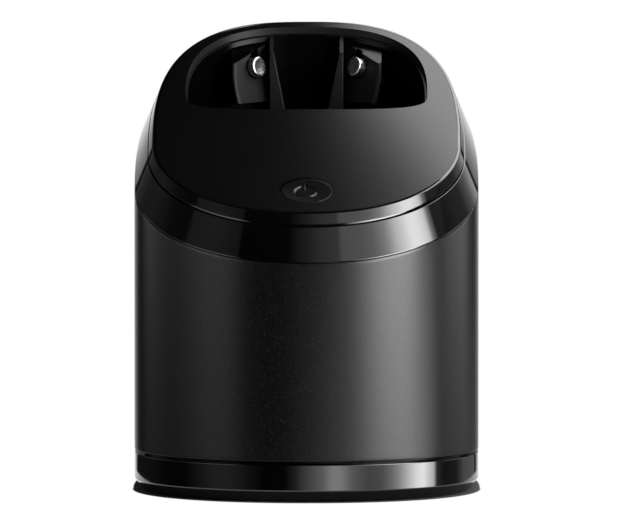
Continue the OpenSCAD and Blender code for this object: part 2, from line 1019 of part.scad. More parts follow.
module pump_motor() {
  color(steel)
    difference() {
      union() {
        rod(pump_x, pump_y, motor_z, motor_z + motor_h, motor_r);
        rod(pump_x, pump_y, motor_z, motor_z + motor_h + 2, motor_r / 3);
      }
      rod(pump_x, pump_y, motor_z - over, motor_z + motor_h - 1.5, shaft_r + run);
    }
}

module motor_shaft() {
  color(steel)
    rod(pump_x, pump_y, deck_top + pump_floor + vane_gap, motor_z + motor_h - 2, shaft_r);
}

module impeller() {
  vane_r = pump_r - pump_wall - 2;
  vane_low = deck_top + pump_floor + vane_gap;
  color(tank_white)
    difference() {
      union() {
        rod(pump_x, pump_y, vane_low, pump_top - vane_gap, 3 * shaft_r);
        rod(pump_x, pump_y, vane_low + 5, vane_low + 6, vane_r);
        for (turn = [0 : 60 : 300])
          translate([pump_x, pump_y, 0])
            rotate([0, 0, turn])
              block([2 * shaft_r, -vane_t / 2, vane_low], [vane_r, vane_t / 2, vane_low + 5.5]);
      }
      rod(pump_x, pump_y, 0, past, shaft_r + 0.02);
    }
}

// A quarter bend of hose, from +Y round to its own +X side
module hose_quarter(r) {
  rotate_extrude(angle = 90)
    translate([hose_bend, 0])
      circle(r);
}

// The hose from the pump's outlet back, up and in to the basin's nozzle
module hose_route(r) {
  start_y = pump_y + pump_r + 2;
  bend_y = basin_y - hose_bend;
  top_z = nozzle_z - hose_bend;
  translate([hose_x, start_y, hose_z])
    rotate([-90, 0, 0])
      cylinder(h = bend_y - start_y, r = r);
  translate([hose_x, bend_y, hose_z + hose_bend])
    rotate([0, 90, 0])
      hose_quarter(r);
  rod(hose_x, basin_y, hose_z + hose_bend, top_z, r);
  translate([hose_x + hose_bend, basin_y, top_z])
    rotate([90, 0, 0])
      rotate([0, 0, 90])
        hose_quarter(r);
  translate([hose_x + hose_bend, basin_y, nozzle_z])
    rotate([0, 90, 0])
      cylinder(h = hose_end, r = r);
}

module supply_hose() {
  color(hose_clear)
    difference() {
      hose_route(hose_r);
      hose_route(hose_bore);
    }
}

// ---------- electrics ----------

// Places children at the four screws of the main board
module board_corners() {
  for (x = [board_x + board_edge, board_x + board_w - board_edge],
       y = [board_y + board_edge, board_y + board_d - board_edge])
    translate([x, y, 0])
      children();
}

module main_board() {
  color(board_green)
    difference() {
      block([board_x, board_y, board_z], [board_x + board_w, board_y + board_d, board_z + board_t]);
      board_corners()
        rod(0, 0, board_z - over, board_z + board_t + over, screw_bore);
    }
}

module board_parts() {
  chip_w = 10;
  chip_x = plug_mid_x - chip_w / 2;
  chip_y = board_y + 0.3 * board_d;
  can_x = board_x + board_w - 8;
  parts_z = board_z + board_t;
  color(inner_black) {
    block([chip_x, chip_y, parts_z], [chip_x + chip_w, chip_y + chip_w, parts_z + 2]);
    block([plug_mid_x - connector_w / 2, plug_mid_y - connector_d / 2, parts_z],
          [plug_mid_x + connector_w / 2, plug_mid_y + connector_d / 2, parts_z + connector_h]);
    rod(can_x, chip_y + 2, parts_z, parts_z + 11, 4);
    rod(can_x, chip_y + chip_w + 3, parts_z, parts_z + 9, 3.2);
  }
}

module board_screws() {
  color(steel)
    board_corners()
      screw_down(0, 0, board_z + board_t, board_t + board_grip);
}

module button_board() {
  color(board_green)
    at_button()
      difference() {
        block([-key_board_half, -key_board_v, -key_board_drop - board_t],
              [key_board_half, key_board_v, -key_board_drop]);
        for (side = [-1, 1])
          rod(side * key_boss_x, 0, -key_board_drop - board_t - over, over - key_board_drop, screw_bore);
      }
}

module button_switch() {
  color(steel)
    at_button()
      difference() {
        block([-2.6, -2.6, -key_board_drop], [2.6, 2.6, 1.6 - key_board_drop]);
        rod(0, 0, 0.4 - key_board_drop, 2 - key_board_drop, 1.8);
      }
}

module status_leds() {
  color(tank_white)
    at_button()
      for (side = [-1, 1])
        block([side * 7 - 1, -0.6, -key_board_drop], [side * 7 + 1, 0.6, 0.8 - key_board_drop]);
}

module button_board_screws() {
  color(steel)
    at_button()
      for (side = [-1, 1])
        screw_up(side * key_boss_x, 0, -key_board_drop - board_t - screw_head_h, board_t + 4);
}

// The cap, its retaining flange and its stem, with the power symbol sunk into its face
module start_button() {
  sink = 0.15;
  flange_low = -plate_t - snug - 1.2;
  mark_r = 3.9;
  mark_w = 0.7;
  color(satin_black)
    at_button()
      difference() {
        union() {
          rod(0, 0, flange_low, -sink, button_d / 2);
          rod(0, 0, flange_low, -plate_t - snug, button_d / 2 + 1.2);
          rod(0, 0, flange_low - 1.5, flange_low, 1.6);
        }
        difference() {
          pipe(0, 0, -sink - 0.3, 1, mark_r, mark_r - mark_w);
          block([-1.3, 0, -1], [1.3, 10, 2]);
        }
        block([-mark_w / 2, 1.2, -sink - 0.3], [mark_w / 2, mark_r + 0.4, 1]);
      }
}

module button_spring() {
  spring_low = -key_board_drop + run;
  spring_high = -plate_t - snug - 1.2 - run;
  color(steel)
    at_button()
      translate([0, 0, spring_low])
        coil(4.6, 0.35, spring_high - spring_low, 3);
}

module power_socket() {
  color(inner_black)
    difference() {
      intersection() {
        block([socket_x - socket_w / 2, back_y - socket_depth - 4, socket_z],
              [socket_x + socket_w / 2, back_y + over, socket_z + socket_h]);
        prism(0.3, socket_z - over, socket_z + socket_h + over);
      }
      block([socket_x - socket_w / 2 + socket_wall, back_y - socket_mouth, socket_z + socket_wall],
            [socket_x + socket_w / 2 - socket_wall, back_y + 2, socket_z + socket_h - socket_wall]);
      for (side = [-1, 1])
        socket_pin(side, socket_pin_r + run, past);
    }
}

// One pin of the socket, or the hole it is pressed through
module socket_pin(side, r, length) {
  translate([socket_x + side * socket_pin_x, back_y - 9, socket_z + socket_h / 2])
    rotate([90, 0, 0])
      cylinder(h = length, r = r, center = true);
}

module socket_pins() {
  color(steel)
    for (side = [-1, 1])
      intersection() {
        socket_pin(side, socket_pin_r, past);
        block([socket_x - 10, back_y - socket_depth - 7, socket_z],
              [socket_x + 10, back_y - 7.5, socket_z + socket_h]);
      }
}

// A straight run of wire between two points
module wire(from, to, r) {
  along = to - from;
  length = norm(along);
  translate(from)
    rotate([0, acos(along[2] / length), atan2(along[1], along[0])])
      cylinder(h = length, r = r, $fn = 8);
}

// A wire through a list of points
module wire_path(points, r) {
  for (i = [1 : len(points) - 1])
    wire(points[i - 1], points[i], r);
}

// Wires from the pods, the socket and the motor to the connector on the main board
module wire_harness() {
  wire_r = 0.7;
  tail = 11.2;
  plug_z = board_z + board_t + connector_h;
  lane_z = plug_z + 4;
  wall_x = guide_x - 14;
  wall_y = back_y - 15;
  color(rubber_black) {
    for (side = [-1, 1]) {
      pod = [side * (pin_x + tail * sin(pin_yaw) * cos(pin_lean)),
             wide_y + pin_back + tail * cos(pin_yaw) * cos(pin_lean),
             plate_z + pin_back * slope - pin_drop - tail * sin(pin_lean)];
      plug_x = plug_mid_x + side * 4;
      wire_path([pod, [side * wall_x, wall_y, flange_z - 14], [side * wall_x, wall_y, lane_z],
        [side > 0 ? wall_x - 6 : 14, back_y - 28.5, lane_z], [plug_x, plug_mid_y + 2, lane_z],
        [plug_x, plug_mid_y + 2, plug_z]], wire_r);
    }
    for (side = [-1, 1]) {
      plug_x = plug_mid_x + side * 1.4;
      tail_y = back_y - socket_depth - 7 - 2 * gap;
      wire_path([[socket_x + side * socket_pin_x, tail_y, socket_z + socket_h / 2],
        [socket_x + 4 + side * 3, back_y - 32.5, lane_z - 2], [plug_x, plug_mid_y, lane_z - 2],
        [plug_x, plug_mid_y, plug_z]], wire_r);
    }
    for (side = [-1, 1]) {
      plug_x = plug_mid_x + side * 3;
      wire_path([[pump_x + 8, pump_y + side * 4, motor_z + motor_h],
        [pump_x + 8, pump_y + side * 4, motor_z + motor_h + 3],
        [plug_x, plug_mid_y - 2, motor_z + motor_h - 4],
        [plug_x, plug_mid_y - 2, plug_z]], wire_r);
    }
  }
}

// ---------- lift release ----------

module lift_button() {
  color(satin_black)
    intersection() {
      union() {
        block([-release_half, release_root, release_low],
              [release_half, release_back + over, release_low + release_h]);
        block([-release_half - release_lip, release_flange - release_lip, release_low - 1.4],
              [release_half + release_lip, release_flange, release_low + release_h + 1.4]);
      }
      prism(0.3, release_low - 3, release_low + release_h + 3);
    }
}

// A frame round the drain that carries a tongue to each catch, with a slot for the spring's stop
module latch_slider() {
  bar_y = stop_y - release_travel - bar_d - 0.5;
  strip = stop_half + gap + 3;
  color(inner_black)
    difference() {
      union() {
        block([-arm_x - arm_w, bar_y, slider_z], [arm_x + arm_w, bar_y + bar_d, slider_z + slider_t]);
        block([-strip, bar_y, slider_z], [strip, release_root, slider_z + slider_t]);
        block([-strip, release_root - slider_back, slider_z],
              [strip, release_root, release_low + release_h]);
        for (side = [-1, 1]) {
          inner = side > 0 ? arm_x : -arm_x - arm_w;
          block([inner, tongue_y - tongue_d, slider_z], [inner + arm_w, bar_y + over, slider_z + slider_t]);
          finger = side > 0 ? arm_x + 1 : -catch_x - catch_w + 0.5;
          block([finger, tongue_y - tongue_d, slider_z],
                [finger + catch_x + catch_w - arm_x - 1.5, tongue_y, slider_z + slider_t]);
        }
      }
      block([-stop_half - gap, stop_y - gap, slider_z - 1],
            [stop_half + gap, stop_y + stop_t + release_travel + gap, slider_z + slider_t + 1]);
    }
}

module latch_spring() {
  spring_front = stop_y + stop_t + run;
  spring_back = release_root - slider_back - run;
  color(steel)
    translate([0, spring_front, release_z])
      rotate([-90, 0, 0])
        coil(3, 0.4, spring_back - spring_front, 4);
}

// ---------- cartridge ----------

// The cartridge's plan, drawn in by inset, as an upright solid
module cartridge_plan(inset, low, high, back) {
  intersection() {
    union() {
      prism(cartridge_front_in + inset, low, high);
      intersection() {
        prism(inset, low, high);
        block([-past, wide_y, low - 1], [past, past, high + 1]);
      }
    }
    block([inset - cartridge_half, -past, low - 1], [cartridge_half - inset, back, high + 1]);
  }
}

module cartridge_tub() {
  color(tank_white)
    difference() {
      cartridge_plan(0, cartridge_z, tub_top, past);
      cartridge_plan(cartridge_wall, cartridge_z + cartridge_wall, tub_top + over, wide_y + tank_back);
      block([-grip_half, back_y - grip_depth, grip_low], [grip_half, past, grip_high]);
    }
}

module cartridge_lid() {
  skirt_in = cartridge_wall + snug;
  skirt_t = 1.4;
  skirt_h = 2.5;
  color(tank_white)
    difference() {
      union() {
        cartridge_plan(0, tub_top, cartridge_top, past);
        difference() {
          cartridge_plan(skirt_in, tub_top - skirt_h, tub_top + lid_t / 2, wide_y + tank_back - snug);
          cartridge_plan(skirt_in + skirt_t, tub_top - skirt_h - over, tub_top,
            wide_y + tank_back - snug - skirt_t);
        }
      }
      rod(basin_x, basin_y, tub_top - 5, cartridge_top + over, drain_bore + 1.6);
      rod(pump_x, pump_y, tub_top - 5, cartridge_top + over, suction_r);
    }
}

module cartridge_filter() {
  cup_r = 15;
  cup_t = 1.6;
  cup_low = tub_top - 26;
  color(inner_black)
    difference() {
      rod(basin_x, basin_y, cup_low, tub_top, cup_r);
      rod(basin_x, basin_y, cup_low + cup_t, tub_top + over, cup_r - cup_t);
      for (turn = [0 : 30 : 150])
        translate([basin_x, basin_y, 0])
          rotate([0, 0, turn])
            block([-past, -cup_t, cup_low + 5], [past, cup_t, cup_low + 20]);
    }
}

module dip_tube() {
  dip_gap = 3;
  dip_wall = 1.4;
  color(inner_black)
    pipe(pump_x, pump_y, cartridge_z + cartridge_wall + dip_gap, tub_top, suction_r + dip_wall, suction_r);
}

base_tray();
base_ring();
rubber_feet();
guide_posts();
post_base_screws();
post_stop_screws();
latch_catches();
lift_springs();
outer_shell();
shell_ledge();
chassis_deck();
guide_sleeves();
deck_screws();
shoulder_ring();
cover_bezel();
top_plate();
recess_liner();
basin_gasket();
wash_basin();
basin_screws();
drain_pipe();
drain_seal();
suction_tube();
suction_seal();
pump_housing();
pump_screws();
pump_cover();
pump_motor();
motor_shaft();
impeller();
supply_hose();
main_board();
board_parts();
board_screws();
button_board();
button_switch();
status_leds();
button_board_screws();
start_button();
button_spring();
power_socket();
socket_pins();
contact_pod_left();
contact_pod_right();
contact_left();
contact_right();
contact_spring_left();
contact_spring_right();
wire_harness();
lift_button();
latch_slider();
latch_spring();
cartridge_tub();
cartridge_lid();
cartridge_filter();
dip_tube();
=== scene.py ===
import json
import math

import bmesh
import bpy
import numpy as np
from mathutils import Matrix, Vector


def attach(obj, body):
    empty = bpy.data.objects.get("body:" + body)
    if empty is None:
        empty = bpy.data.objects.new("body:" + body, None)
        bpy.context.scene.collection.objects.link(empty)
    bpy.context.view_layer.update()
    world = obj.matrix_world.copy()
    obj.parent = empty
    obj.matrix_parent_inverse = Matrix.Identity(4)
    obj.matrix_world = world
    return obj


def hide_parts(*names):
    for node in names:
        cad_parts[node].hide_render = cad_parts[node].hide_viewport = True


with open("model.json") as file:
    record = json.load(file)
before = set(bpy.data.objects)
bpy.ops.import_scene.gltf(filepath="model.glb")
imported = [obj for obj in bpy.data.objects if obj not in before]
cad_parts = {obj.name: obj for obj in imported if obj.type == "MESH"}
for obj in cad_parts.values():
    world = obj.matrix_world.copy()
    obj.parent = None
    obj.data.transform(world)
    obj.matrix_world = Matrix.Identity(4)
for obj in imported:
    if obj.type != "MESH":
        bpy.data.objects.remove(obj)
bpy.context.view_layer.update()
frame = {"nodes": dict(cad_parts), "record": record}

MM = 0.001
NODES = frame["nodes"]

# ---------- sizes of the part, in millimetres ----------
BODY_W, FRONT_D, REAR_D = 122.0, 53.0, 90.5
FRONT_POWER, REAR_POWER = 2.15, 2.75
WIDE_Y = (FRONT_D - REAR_D) / 2
BACK_Y = WIDE_Y + REAR_D
WALL = 2.4
RING_Z, RING_TOP, SHELL_Z = 0.6, 13.4, 14.7
CHAMFER_H, CHAMFER_IN = 3.7, 2.8
FLOOR_Z = 4.0
SEAM_Z, CONE_H, SHOULDER_H, CONE_GROOVE = 107.3, 15.6, 11.2, 0.7
CONE_SIDE, CONE_END = 6.5, 4.6
PLATE_Z, PLATE_T = SEAM_Z + CONE_H, 2.4
RIM_W, LEDGE_IN, NECK_OUT = 0.8, 2.6, 1.4 - CONE_SIDE * (1 - SHOULDER_H / CONE_H)
TILT = math.radians(23.2)
SLOPE = math.tan(TILT)
WELL_HALF, WELL_MID, WELL_FRONT, WELL_REAR = 43.0, 36.0, 12.2, 46.0
WELL_FRONT_POWER, WELL_REAR_POWER = 4.4, 2.62
WELL_FLOOR, LINER_IN, LINER_WALL = 110.0, 0.8, 1.8
LINER_TOP = PLATE_Z - PLATE_T - 0.3
BUTTON_D, BUTTON_FRONT = 19.0, 32.7
PIN_D, PIN_PROUD, PIN_X, PIN_BACK, PIN_DROP = 7.2, 3.2, 18.8, 71.0, 9.2
PIN_YAW, PIN_LEAN = math.radians(47), math.radians(14)
POD_IN, POD_OUT, POD_DOWN = 13.5, 26.8, 12.0
BAY_HALF, BAY_TOP, REAR_CUT = 43.5, 48.2, BACK_Y - 30.5
DECK_TOP = 56.4
RELEASE_HALF, RELEASE_LOW, RELEASE_H = 13.0, DECK_TOP + 4, 12.0
SOCKET_X, SOCKET_Z, SOCKET_W, SOCKET_H = -30.0, DECK_TOP + 4, 14.0, 9.4
CARTRIDGE_HALF, CARTRIDGE_Z, TUB_TOP, CARTRIDGE_TOP = 43.0, 4.8, 45.2, 47.6
BASIN_Y, BASIN_R, BASIN_FLOOR = WIDE_Y + WELL_MID + 12, 20.0, 86.0
AROUND = 320

# ---------- mesh helpers ----------


def oval(a, half, front, rear, p_front, p_rear, mid_y):
    """Points of a rounded outline with different front and rear halves, at the angles a."""
    c, s = np.cos(a), np.sin(a)
    power = np.where(s < 0, p_front, p_rear)
    reach = np.where(s < 0, front, rear)
    x = half * np.sign(c) * np.abs(c) ** (2 / power)
    y = mid_y + reach * np.sign(s) * np.abs(s) ** (2 / power)
    return np.stack([x, y], 1)


def even_angles(count, *shape):
    """Angles that space the outline's points evenly."""
    a = np.linspace(0, 2 * math.pi, 20001)
    p = oval(a, *shape)
    d = np.concatenate([[0], np.cumsum(np.linalg.norm(np.diff(p, axis=0), axis=1))])
    return np.interp(np.arange(count) * d[-1] / count, d, a)


BODY_SHAPE = (BODY_W / 2, FRONT_D, REAR_D, FRONT_POWER, REAR_POWER, WIDE_Y)
WELL_SHAPE = (WELL_HALF, WELL_FRONT, WELL_REAR, WELL_FRONT_POWER, WELL_REAR_POWER, WIDE_Y + WELL_MID)
BODY_A = even_angles(AROUND, *BODY_SHAPE)
WELL_A = even_angles(AROUND, *WELL_SHAPE)


def body_ring(side, end, flat_z, over_seam=0.0, lean=0.0):
    """One turn of the body's outline. lean 0 lies flat at flat_z, lean 1 lies over_seam above the sloping seam."""
    p = oval(BODY_A, BODY_W / 2 - side, FRONT_D - end, REAR_D - end, FRONT_POWER, REAR_POWER, WIDE_Y)
    sloped = SEAM_Z + over_seam + SLOPE * (p[:, 1] - WIDE_Y)
    return np.column_stack([p, (1 - lean) * flat_z + lean * sloped])


def well_ring(inset, z, rise=0.0):
    p = oval(WELL_A, WELL_HALF - inset, WELL_FRONT - inset, WELL_REAR - inset,
             WELL_FRONT_POWER, WELL_REAR_POWER, WIDE_Y + WELL_MID)
    return np.column_stack([p, z + rise * (p[:, 1] - WIDE_Y)])


def softened(points, cuts, steps=5):
    """A closed section with its corners rounded; cuts says how far each corner's curve reaches."""
    out = []
    n = len(points)
    for i, (p, cut) in enumerate(zip(points, cuts)):
        p = np.array(p, float)
        if not cut:
            out.append(p)
            continue
        before, after = np.array(points[i - 1], float), np.array(points[(i + 1) % n], float)
        a = p + (before - p) / np.linalg.norm(before - p) * cut
        b = p + (after - p) / np.linalg.norm(after - p) * cut
        for t in np.linspace(0, 1, steps + 1):
            out.append((1 - t) ** 2 * a + 2 * t * (1 - t) * p + t * t * b)
    return out


def mesh_object(name, verts, faces):
    mesh = bpy.data.meshes.new(name)
    mesh.from_pydata([tuple(v * MM) for v in np.asarray(verts, float)], [], faces)
    mesh.validate()
    obj = bpy.data.objects.new(name, mesh)
    bpy.context.scene.collection.objects.link(obj)
    bm = bmesh.new()
    bm.from_mesh(mesh)
    bmesh.ops.recalc_face_normals(bm, faces=bm.faces)
    bm.to_mesh(mesh)
    bm.free()
    return obj


def band(name, rings, closed=True):
    """Skin over a list of rings. A closed one joins the last ring to the first, an open one is capped."""
    n = len(rings[0])
    verts = np.concatenate(rings)
    faces = []
    last = len(rings) if closed else len(rings) - 1
    for k in range(last):
        a, b = k * n, ((k + 1) % len(rings)) * n
        faces += [(a + i, a + (i + 1) % n, b + (i + 1) % n, b + i) for i in range(n)]
    if not closed:
        faces.append(tuple(range(n))[::-1])
        faces.append(tuple((len(rings) - 1) * n + i for i in range(n)))
    return mesh_object(name, verts, faces)


def turned(name, profile, around=96, place=None, closed=True):
    """A turned piece from (radius, height) pairs. Pairs at radius 0 close it."""
    a = np.arange(around) * 2 * math.pi / around
    verts, rows = [], []
    for r, z in profile:
        if r == 0:
            rows.append([len(verts)])
            verts.append((0, 0, z))
        else:
            rows.append(list(range(len(verts), len(verts) + around)))
            verts += [(r * math.cos(t), r * math.sin(t), z) for t in a]
    faces = []
    pairs = list(zip(rows, rows[1:]))
    if closed and profile[0][0] and profile[-1][0]:
        pairs.append((rows[-1], rows[0]))
    for p, q in pairs:
        for i in range(around):
            j = (i + 1) % around
            if len(p) == 1 and len(q) == 1:
                continue
            if len(p) == 1:
                faces.append((p[0], q[j], q[i]))
            elif len(q) == 1:
                faces.append((p[i], p[j], q[0]))
            else:
                faces.append((p[i], p[j], q[j], q[i]))
    verts = np.array(verts, float)
    if place is not None:
        verts = np.array([place @ Vector(v) for v in verts])
    return mesh_object(name, verts, faces)


def soft_box(name, low, high, radius=0.0, steps=4, place=None, edges=None):
    """A box with rounded edges. edges picks which of them by their direction, as a string of x, y and z."""
    bm = bmesh.new()
    bmesh.ops.create_cube(bm, size=1)
    low, high = np.array(low, float), np.array(high, float)
    for v in bm.verts:
        v.co = Vector((low + high) / 2 + np.array(v.co) * (high - low))
    if radius:
        chosen = []
        for e in bm.edges:
            d = e.verts[0].co - e.verts[1].co
            way = "xyz"[max(range(3), key=lambda i: abs(d[i]))]
            if edges is None or way in edges:
                chosen.append(e)
        bmesh.ops.bevel(bm, geom=chosen, offset=radius, segments=steps, profile=0.5, affect="EDGES")
    for v in bm.verts:
        v.co = (place @ v.co if place is not None else v.co) * MM
    mesh = bpy.data.meshes.new(name)
    bm.to_mesh(mesh)
    bm.free()
    obj = bpy.data.objects.new(name, mesh)
    bpy.context.scene.collection.objects.link(obj)
    return obj


def applied(obj):
    """Bakes the modifiers of obj into its mesh."""
    bpy.context.view_layer.update()
    made = bpy.data.meshes.new_from_object(obj.evaluated_get(bpy.context.evaluated_depsgraph_get()))
    old = obj.data
    obj.modifiers.clear()
    obj.data = made
    bpy.data.meshes.remove(old)
    made.name = obj.name
    return obj


def boolean(obj, *tools, how="DIFFERENCE"):
    for tool in tools:
        m = obj.modifiers.new("cut", "BOOLEAN")
        m.operation = how
        m.solver = "EXACT"
        m.object = tool
        applied(obj)
        bpy.data.objects.remove(tool)
    return obj


def edge_soft(obj, width, angle=50, steps=2):
    """Small rounds on the sharp edges that cuts have left."""
    m = obj.modifiers.new("edges", "BEVEL")
    m.width = width * MM
    m.segments = steps
    m.limit_method = "ANGLE"
    m.angle_limit = math.radians(angle)
    m.miter_outer = "MITER_ARC"
    m.harden_normals = False
    m.use_clamp_overlap = True
    return applied(obj)


def shaded(obj, angle=32):
    for p in obj.data.polygons:
        p.use_smooth = True
    obj.data.set_sharp_from_angle(angle=math.radians(angle))
    m = obj.modifiers.new("normals", "WEIGHTED_NORMAL")
    m.keep_sharp = True
    m.weight = 80
    return obj


def place_part(obj, body, slot, *nodes, look=None):
    obj.data.materials.clear()
    obj.data.materials.append(material(look or slot))
    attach(obj, body)
    if nodes:
        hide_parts(*nodes)
    return obj


def paint(obj, look, chosen):
    """Gives the faces that chosen(centre in mm, normal) picks another look."""
    obj.data.materials.append(material(look))
    for face in obj.data.polygons:
        if chosen(face.center / MM, face.normal):
            face.material_index = len(obj.data.materials) - 1


BUTTON_AT = (Matrix.Translation((0, WIDE_Y - BUTTON_FRONT, PLATE_Z - BUTTON_FRONT * SLOPE))
             @ Matrix.Rotation(TILT, 4, "X"))


def pin_at(side):
    return (Matrix.Translation((side * PIN_X, WIDE_Y + PIN_BACK, PLATE_Z + PIN_BACK * SLOPE - PIN_DROP))
            @ Matrix.Rotation(-side * PIN_YAW, 4, "Z")
            @ Matrix.Rotation(math.radians(90) - PIN_LEAN, 4, "X"))


# ---------- materials ----------


class Nodes:
    """A small wrapper that adds and links shader nodes."""

    def __init__(self, name):
        self.mat = bpy.data.materials.new(name)
        self.mat.use_nodes = True
        self.tree = self.mat.node_tree
        self.tree.nodes.clear()
        self.out = self.tree.nodes.new("ShaderNodeOutputMaterial")
        self.bsdf = self.tree.nodes.new("ShaderNodeBsdfPrincipled")
        self.link(self.bsdf.outputs[0], self.out.inputs["Surface"])
        self.where = self.tree.nodes.new("ShaderNodeTexCoord").outputs["Object"]

    def link(self, a, b):
        self.tree.links.new(a, b)

    def noise(self, scale, detail=3.0, rough=0.55, stretch=None):
        n = self.tree.nodes.new("ShaderNodeTexNoise")
        n.inputs["Scale"].default_value = scale
        n.inputs["Detail"].default_value = detail
        n.inputs["Roughness"].default_value = rough
        self.link(self.stretched(stretch), n.inputs["Vector"])
        return n.outputs["Fac"]

    def cells(self, scale, output="Color"):
        n = self.tree.nodes.new("ShaderNodeTexVoronoi")
        n.inputs["Scale"].default_value = scale
        self.link(self.where, n.inputs["Vector"])
        return n.outputs[output]

    def stretched(self, stretch):
        if stretch is None:
            return self.where
        m = self.tree.nodes.new("ShaderNodeMapping")
        m.inputs["Scale"].default_value = stretch
        self.link(self.where, m.inputs["Vector"])
        return m.outputs[0]

    def spread(self, value, low, high, start=0.25, end=0.75):
        """Maps a texture's value from start..end to low..high."""
        n = self.tree.nodes.new("ShaderNodeMapRange")
        n.inputs["From Min"].default_value = start
        n.inputs["From Max"].default_value = end
        n.inputs["To Min"].default_value = low
        n.inputs["To Max"].default_value = high
        self.link(value, n.inputs["Value"])
        return n.outputs[0]

    def colours(self, value, *stops):
        n = self.tree.nodes.new("ShaderNodeValToRGB")
        ramp = n.color_ramp
        while len(ramp.elements) < len(stops):
            ramp.elements.new(0.5)
        for e, (at, colour) in zip(ramp.elements, stops):
            e.position = at
            e.color = (*colour, 1)
        self.link(value, n.inputs["Fac"])
        return n.outputs["Color"]

    def bump(self, height, distance, strength=1.0, under=None):
        n = self.tree.nodes.new("ShaderNodeBump")
        n.inputs["Strength"].default_value = strength
        n.inputs["Distance"].default_value = distance
        self.link(height, n.inputs["Height"])
        if under is not None:
            self.link(under, n.inputs["Normal"])
        return n.outputs[0]

    def set(self, **values):
        for key, value in values.items():
            socket = self.bsdf.inputs[key.replace("_", " ")]
            if isinstance(value, bpy.types.NodeSocket):
                self.link(value, socket)
            elif isinstance(value, tuple):
                socket.default_value = (*value, 1)
            else:
                socket.default_value = value
        return self.mat


def gloss_black(n):
    smear = n.noise(38, 4)
    fine = n.noise(900, 2)
    return n.set(Base_Color=n.colours(smear, (0.3, (0.0012, 0.0012, 0.0013)), (0.7, (0.002, 0.002, 0.0022))),
                 Roughness=n.spread(smear, 0.045, 0.085),
                 IOR=1.8,
                 Normal=n.bump(fine, 0.000002, 0.35))


def satin_black(n):
    grain = n.noise(2600, 3, 0.6)
    cloud = n.noise(24, 3)
    return n.set(Base_Color=n.colours(grain, (0.3, (0.002, 0.002, 0.0022)), (0.7, (0.0035, 0.0035, 0.0038))),
                 Roughness=n.spread(cloud, 0.235, 0.26),
                 IOR=1.42,
                 Normal=n.bump(grain, 0.000004, 0.5))


# Painted shade: a darker, less reflective copy of the gloss black, laid on gaps, recesses and faces that lie in shade.
def painted_shade_black(n):
    grain = n.noise(2200, 3, 0.6)
    cloud = n.noise(30, 3)
    return n.set(Base_Color=n.colours(grain, (0.3, (0.0006, 0.0006, 0.0007)), (0.7, (0.0012, 0.0012, 0.0013))),
                 Roughness=n.spread(cloud, 0.15, 0.2),
                 IOR=1.22,
                 Normal=n.bump(grain, 0.000004, 0.4))


# Matte black for the pods, and painted light: a lighter copy laid on chosen faces of the liner and the top plate.
def matte_black_and_lit_copy(n):
    grain = n.noise(2200, 3, 0.6)
    cloud = n.noise(30, 3)
    return n.set(Base_Color=n.colours(grain, (0.3, (0.006, 0.006, 0.0063)), (0.7, (0.01, 0.01, 0.0104))),
                 Roughness=n.spread(cloud, 0.38, 0.44),
                 IOR=1.3,
                 Normal=n.bump(grain, 0.000006, 0.5))


def shell_grey(n):
    flake = n.cells(3600)
    grain = n.noise(1800, 3, 0.65)
    cloud = n.noise(16, 3)
    return n.set(Base_Color=n.colours(flake, (0.0, (0.0015, 0.0015, 0.0016)), (0.7, (0.003, 0.003, 0.0032)),
                                      (1.0, (0.03, 0.03, 0.031))),
                 Metallic=0.1,
                 IOR=1.6,
                 Roughness=n.spread(cloud, 0.27, 0.295),
                 Normal=n.bump(grain, 0.000004, 0.5))


def inner_black(n):
    grain = n.noise(1500, 3)
    return n.set(Base_Color=n.colours(n.noise(60, 4), (0.3, (0.018, 0.018, 0.019)), (0.7, (0.03, 0.03, 0.032))),
                 Roughness=n.spread(grain, 0.42, 0.58),
                 Normal=n.bump(grain, 0.00002, 0.5))


def rubber_black(n):
    grain = n.noise(2200, 4, 0.7)
    return n.set(Base_Color=n.colours(grain, (0.3, (0.012, 0.012, 0.012)), (0.7, (0.024, 0.024, 0.024))),
                 Roughness=n.spread(grain, 0.72, 0.88),
                 Normal=n.bump(grain, 0.00003, 0.6))


def contact_metal(n):
    brushed = n.noise(300, 4, 0.6, (1, 1, 9))
    return n.set(Base_Color=n.colours(brushed, (0.3, (0.5, 0.5, 0.51)), (0.7, (0.66, 0.66, 0.67))),
                 Metallic=1.0,
                 Roughness=n.spread(brushed, 0.16, 0.3),
                 Normal=n.bump(brushed, 0.000004, 0.4))


def steel(n):
    brushed = n.noise(240, 4, 0.6, (1, 1, 6))
    return n.set(Base_Color=n.colours(brushed, (0.3, (0.46, 0.47, 0.49)), (0.7, (0.62, 0.63, 0.65))),
                 Metallic=1.0,
                 Roughness=n.spread(brushed, 0.24, 0.42),
                 Normal=n.bump(brushed, 0.000006, 0.4))


def board_green(n):
    weave = n.noise(1400, 2, 0.5, (1, 3, 1))
    return n.set(Base_Color=n.colours(weave, (0.3, (0.012, 0.10, 0.045)), (0.7, (0.02, 0.15, 0.07))),
                 Roughness=n.spread(weave, 0.3, 0.45),
                 Normal=n.bump(weave, 0.00001, 0.4))


def cartridge_white(n):
    cloud = n.noise(40, 4)
    grain = n.noise(1600, 3)
    return n.set(Base_Color=n.colours(cloud, (0.3, (0.66, 0.66, 0.64)), (0.7, (0.74, 0.74, 0.72))),
                 Roughness=n.spread(cloud, 0.28, 0.38),
                 Subsurface_Weight=0.15,
                 Normal=n.bump(grain, 0.00001, 0.4))


def hose_clear(n):
    cloud = n.noise(120, 3)
    return n.set(Base_Color=n.colours(cloud, (0.3, (0.55, 0.57, 0.55)), (0.7, (0.66, 0.68, 0.66))),
                 Roughness=n.spread(cloud, 0.25, 0.4),
                 Subsurface_Weight=0.3,
                 Normal=n.bump(cloud, 0.00002, 0.3))


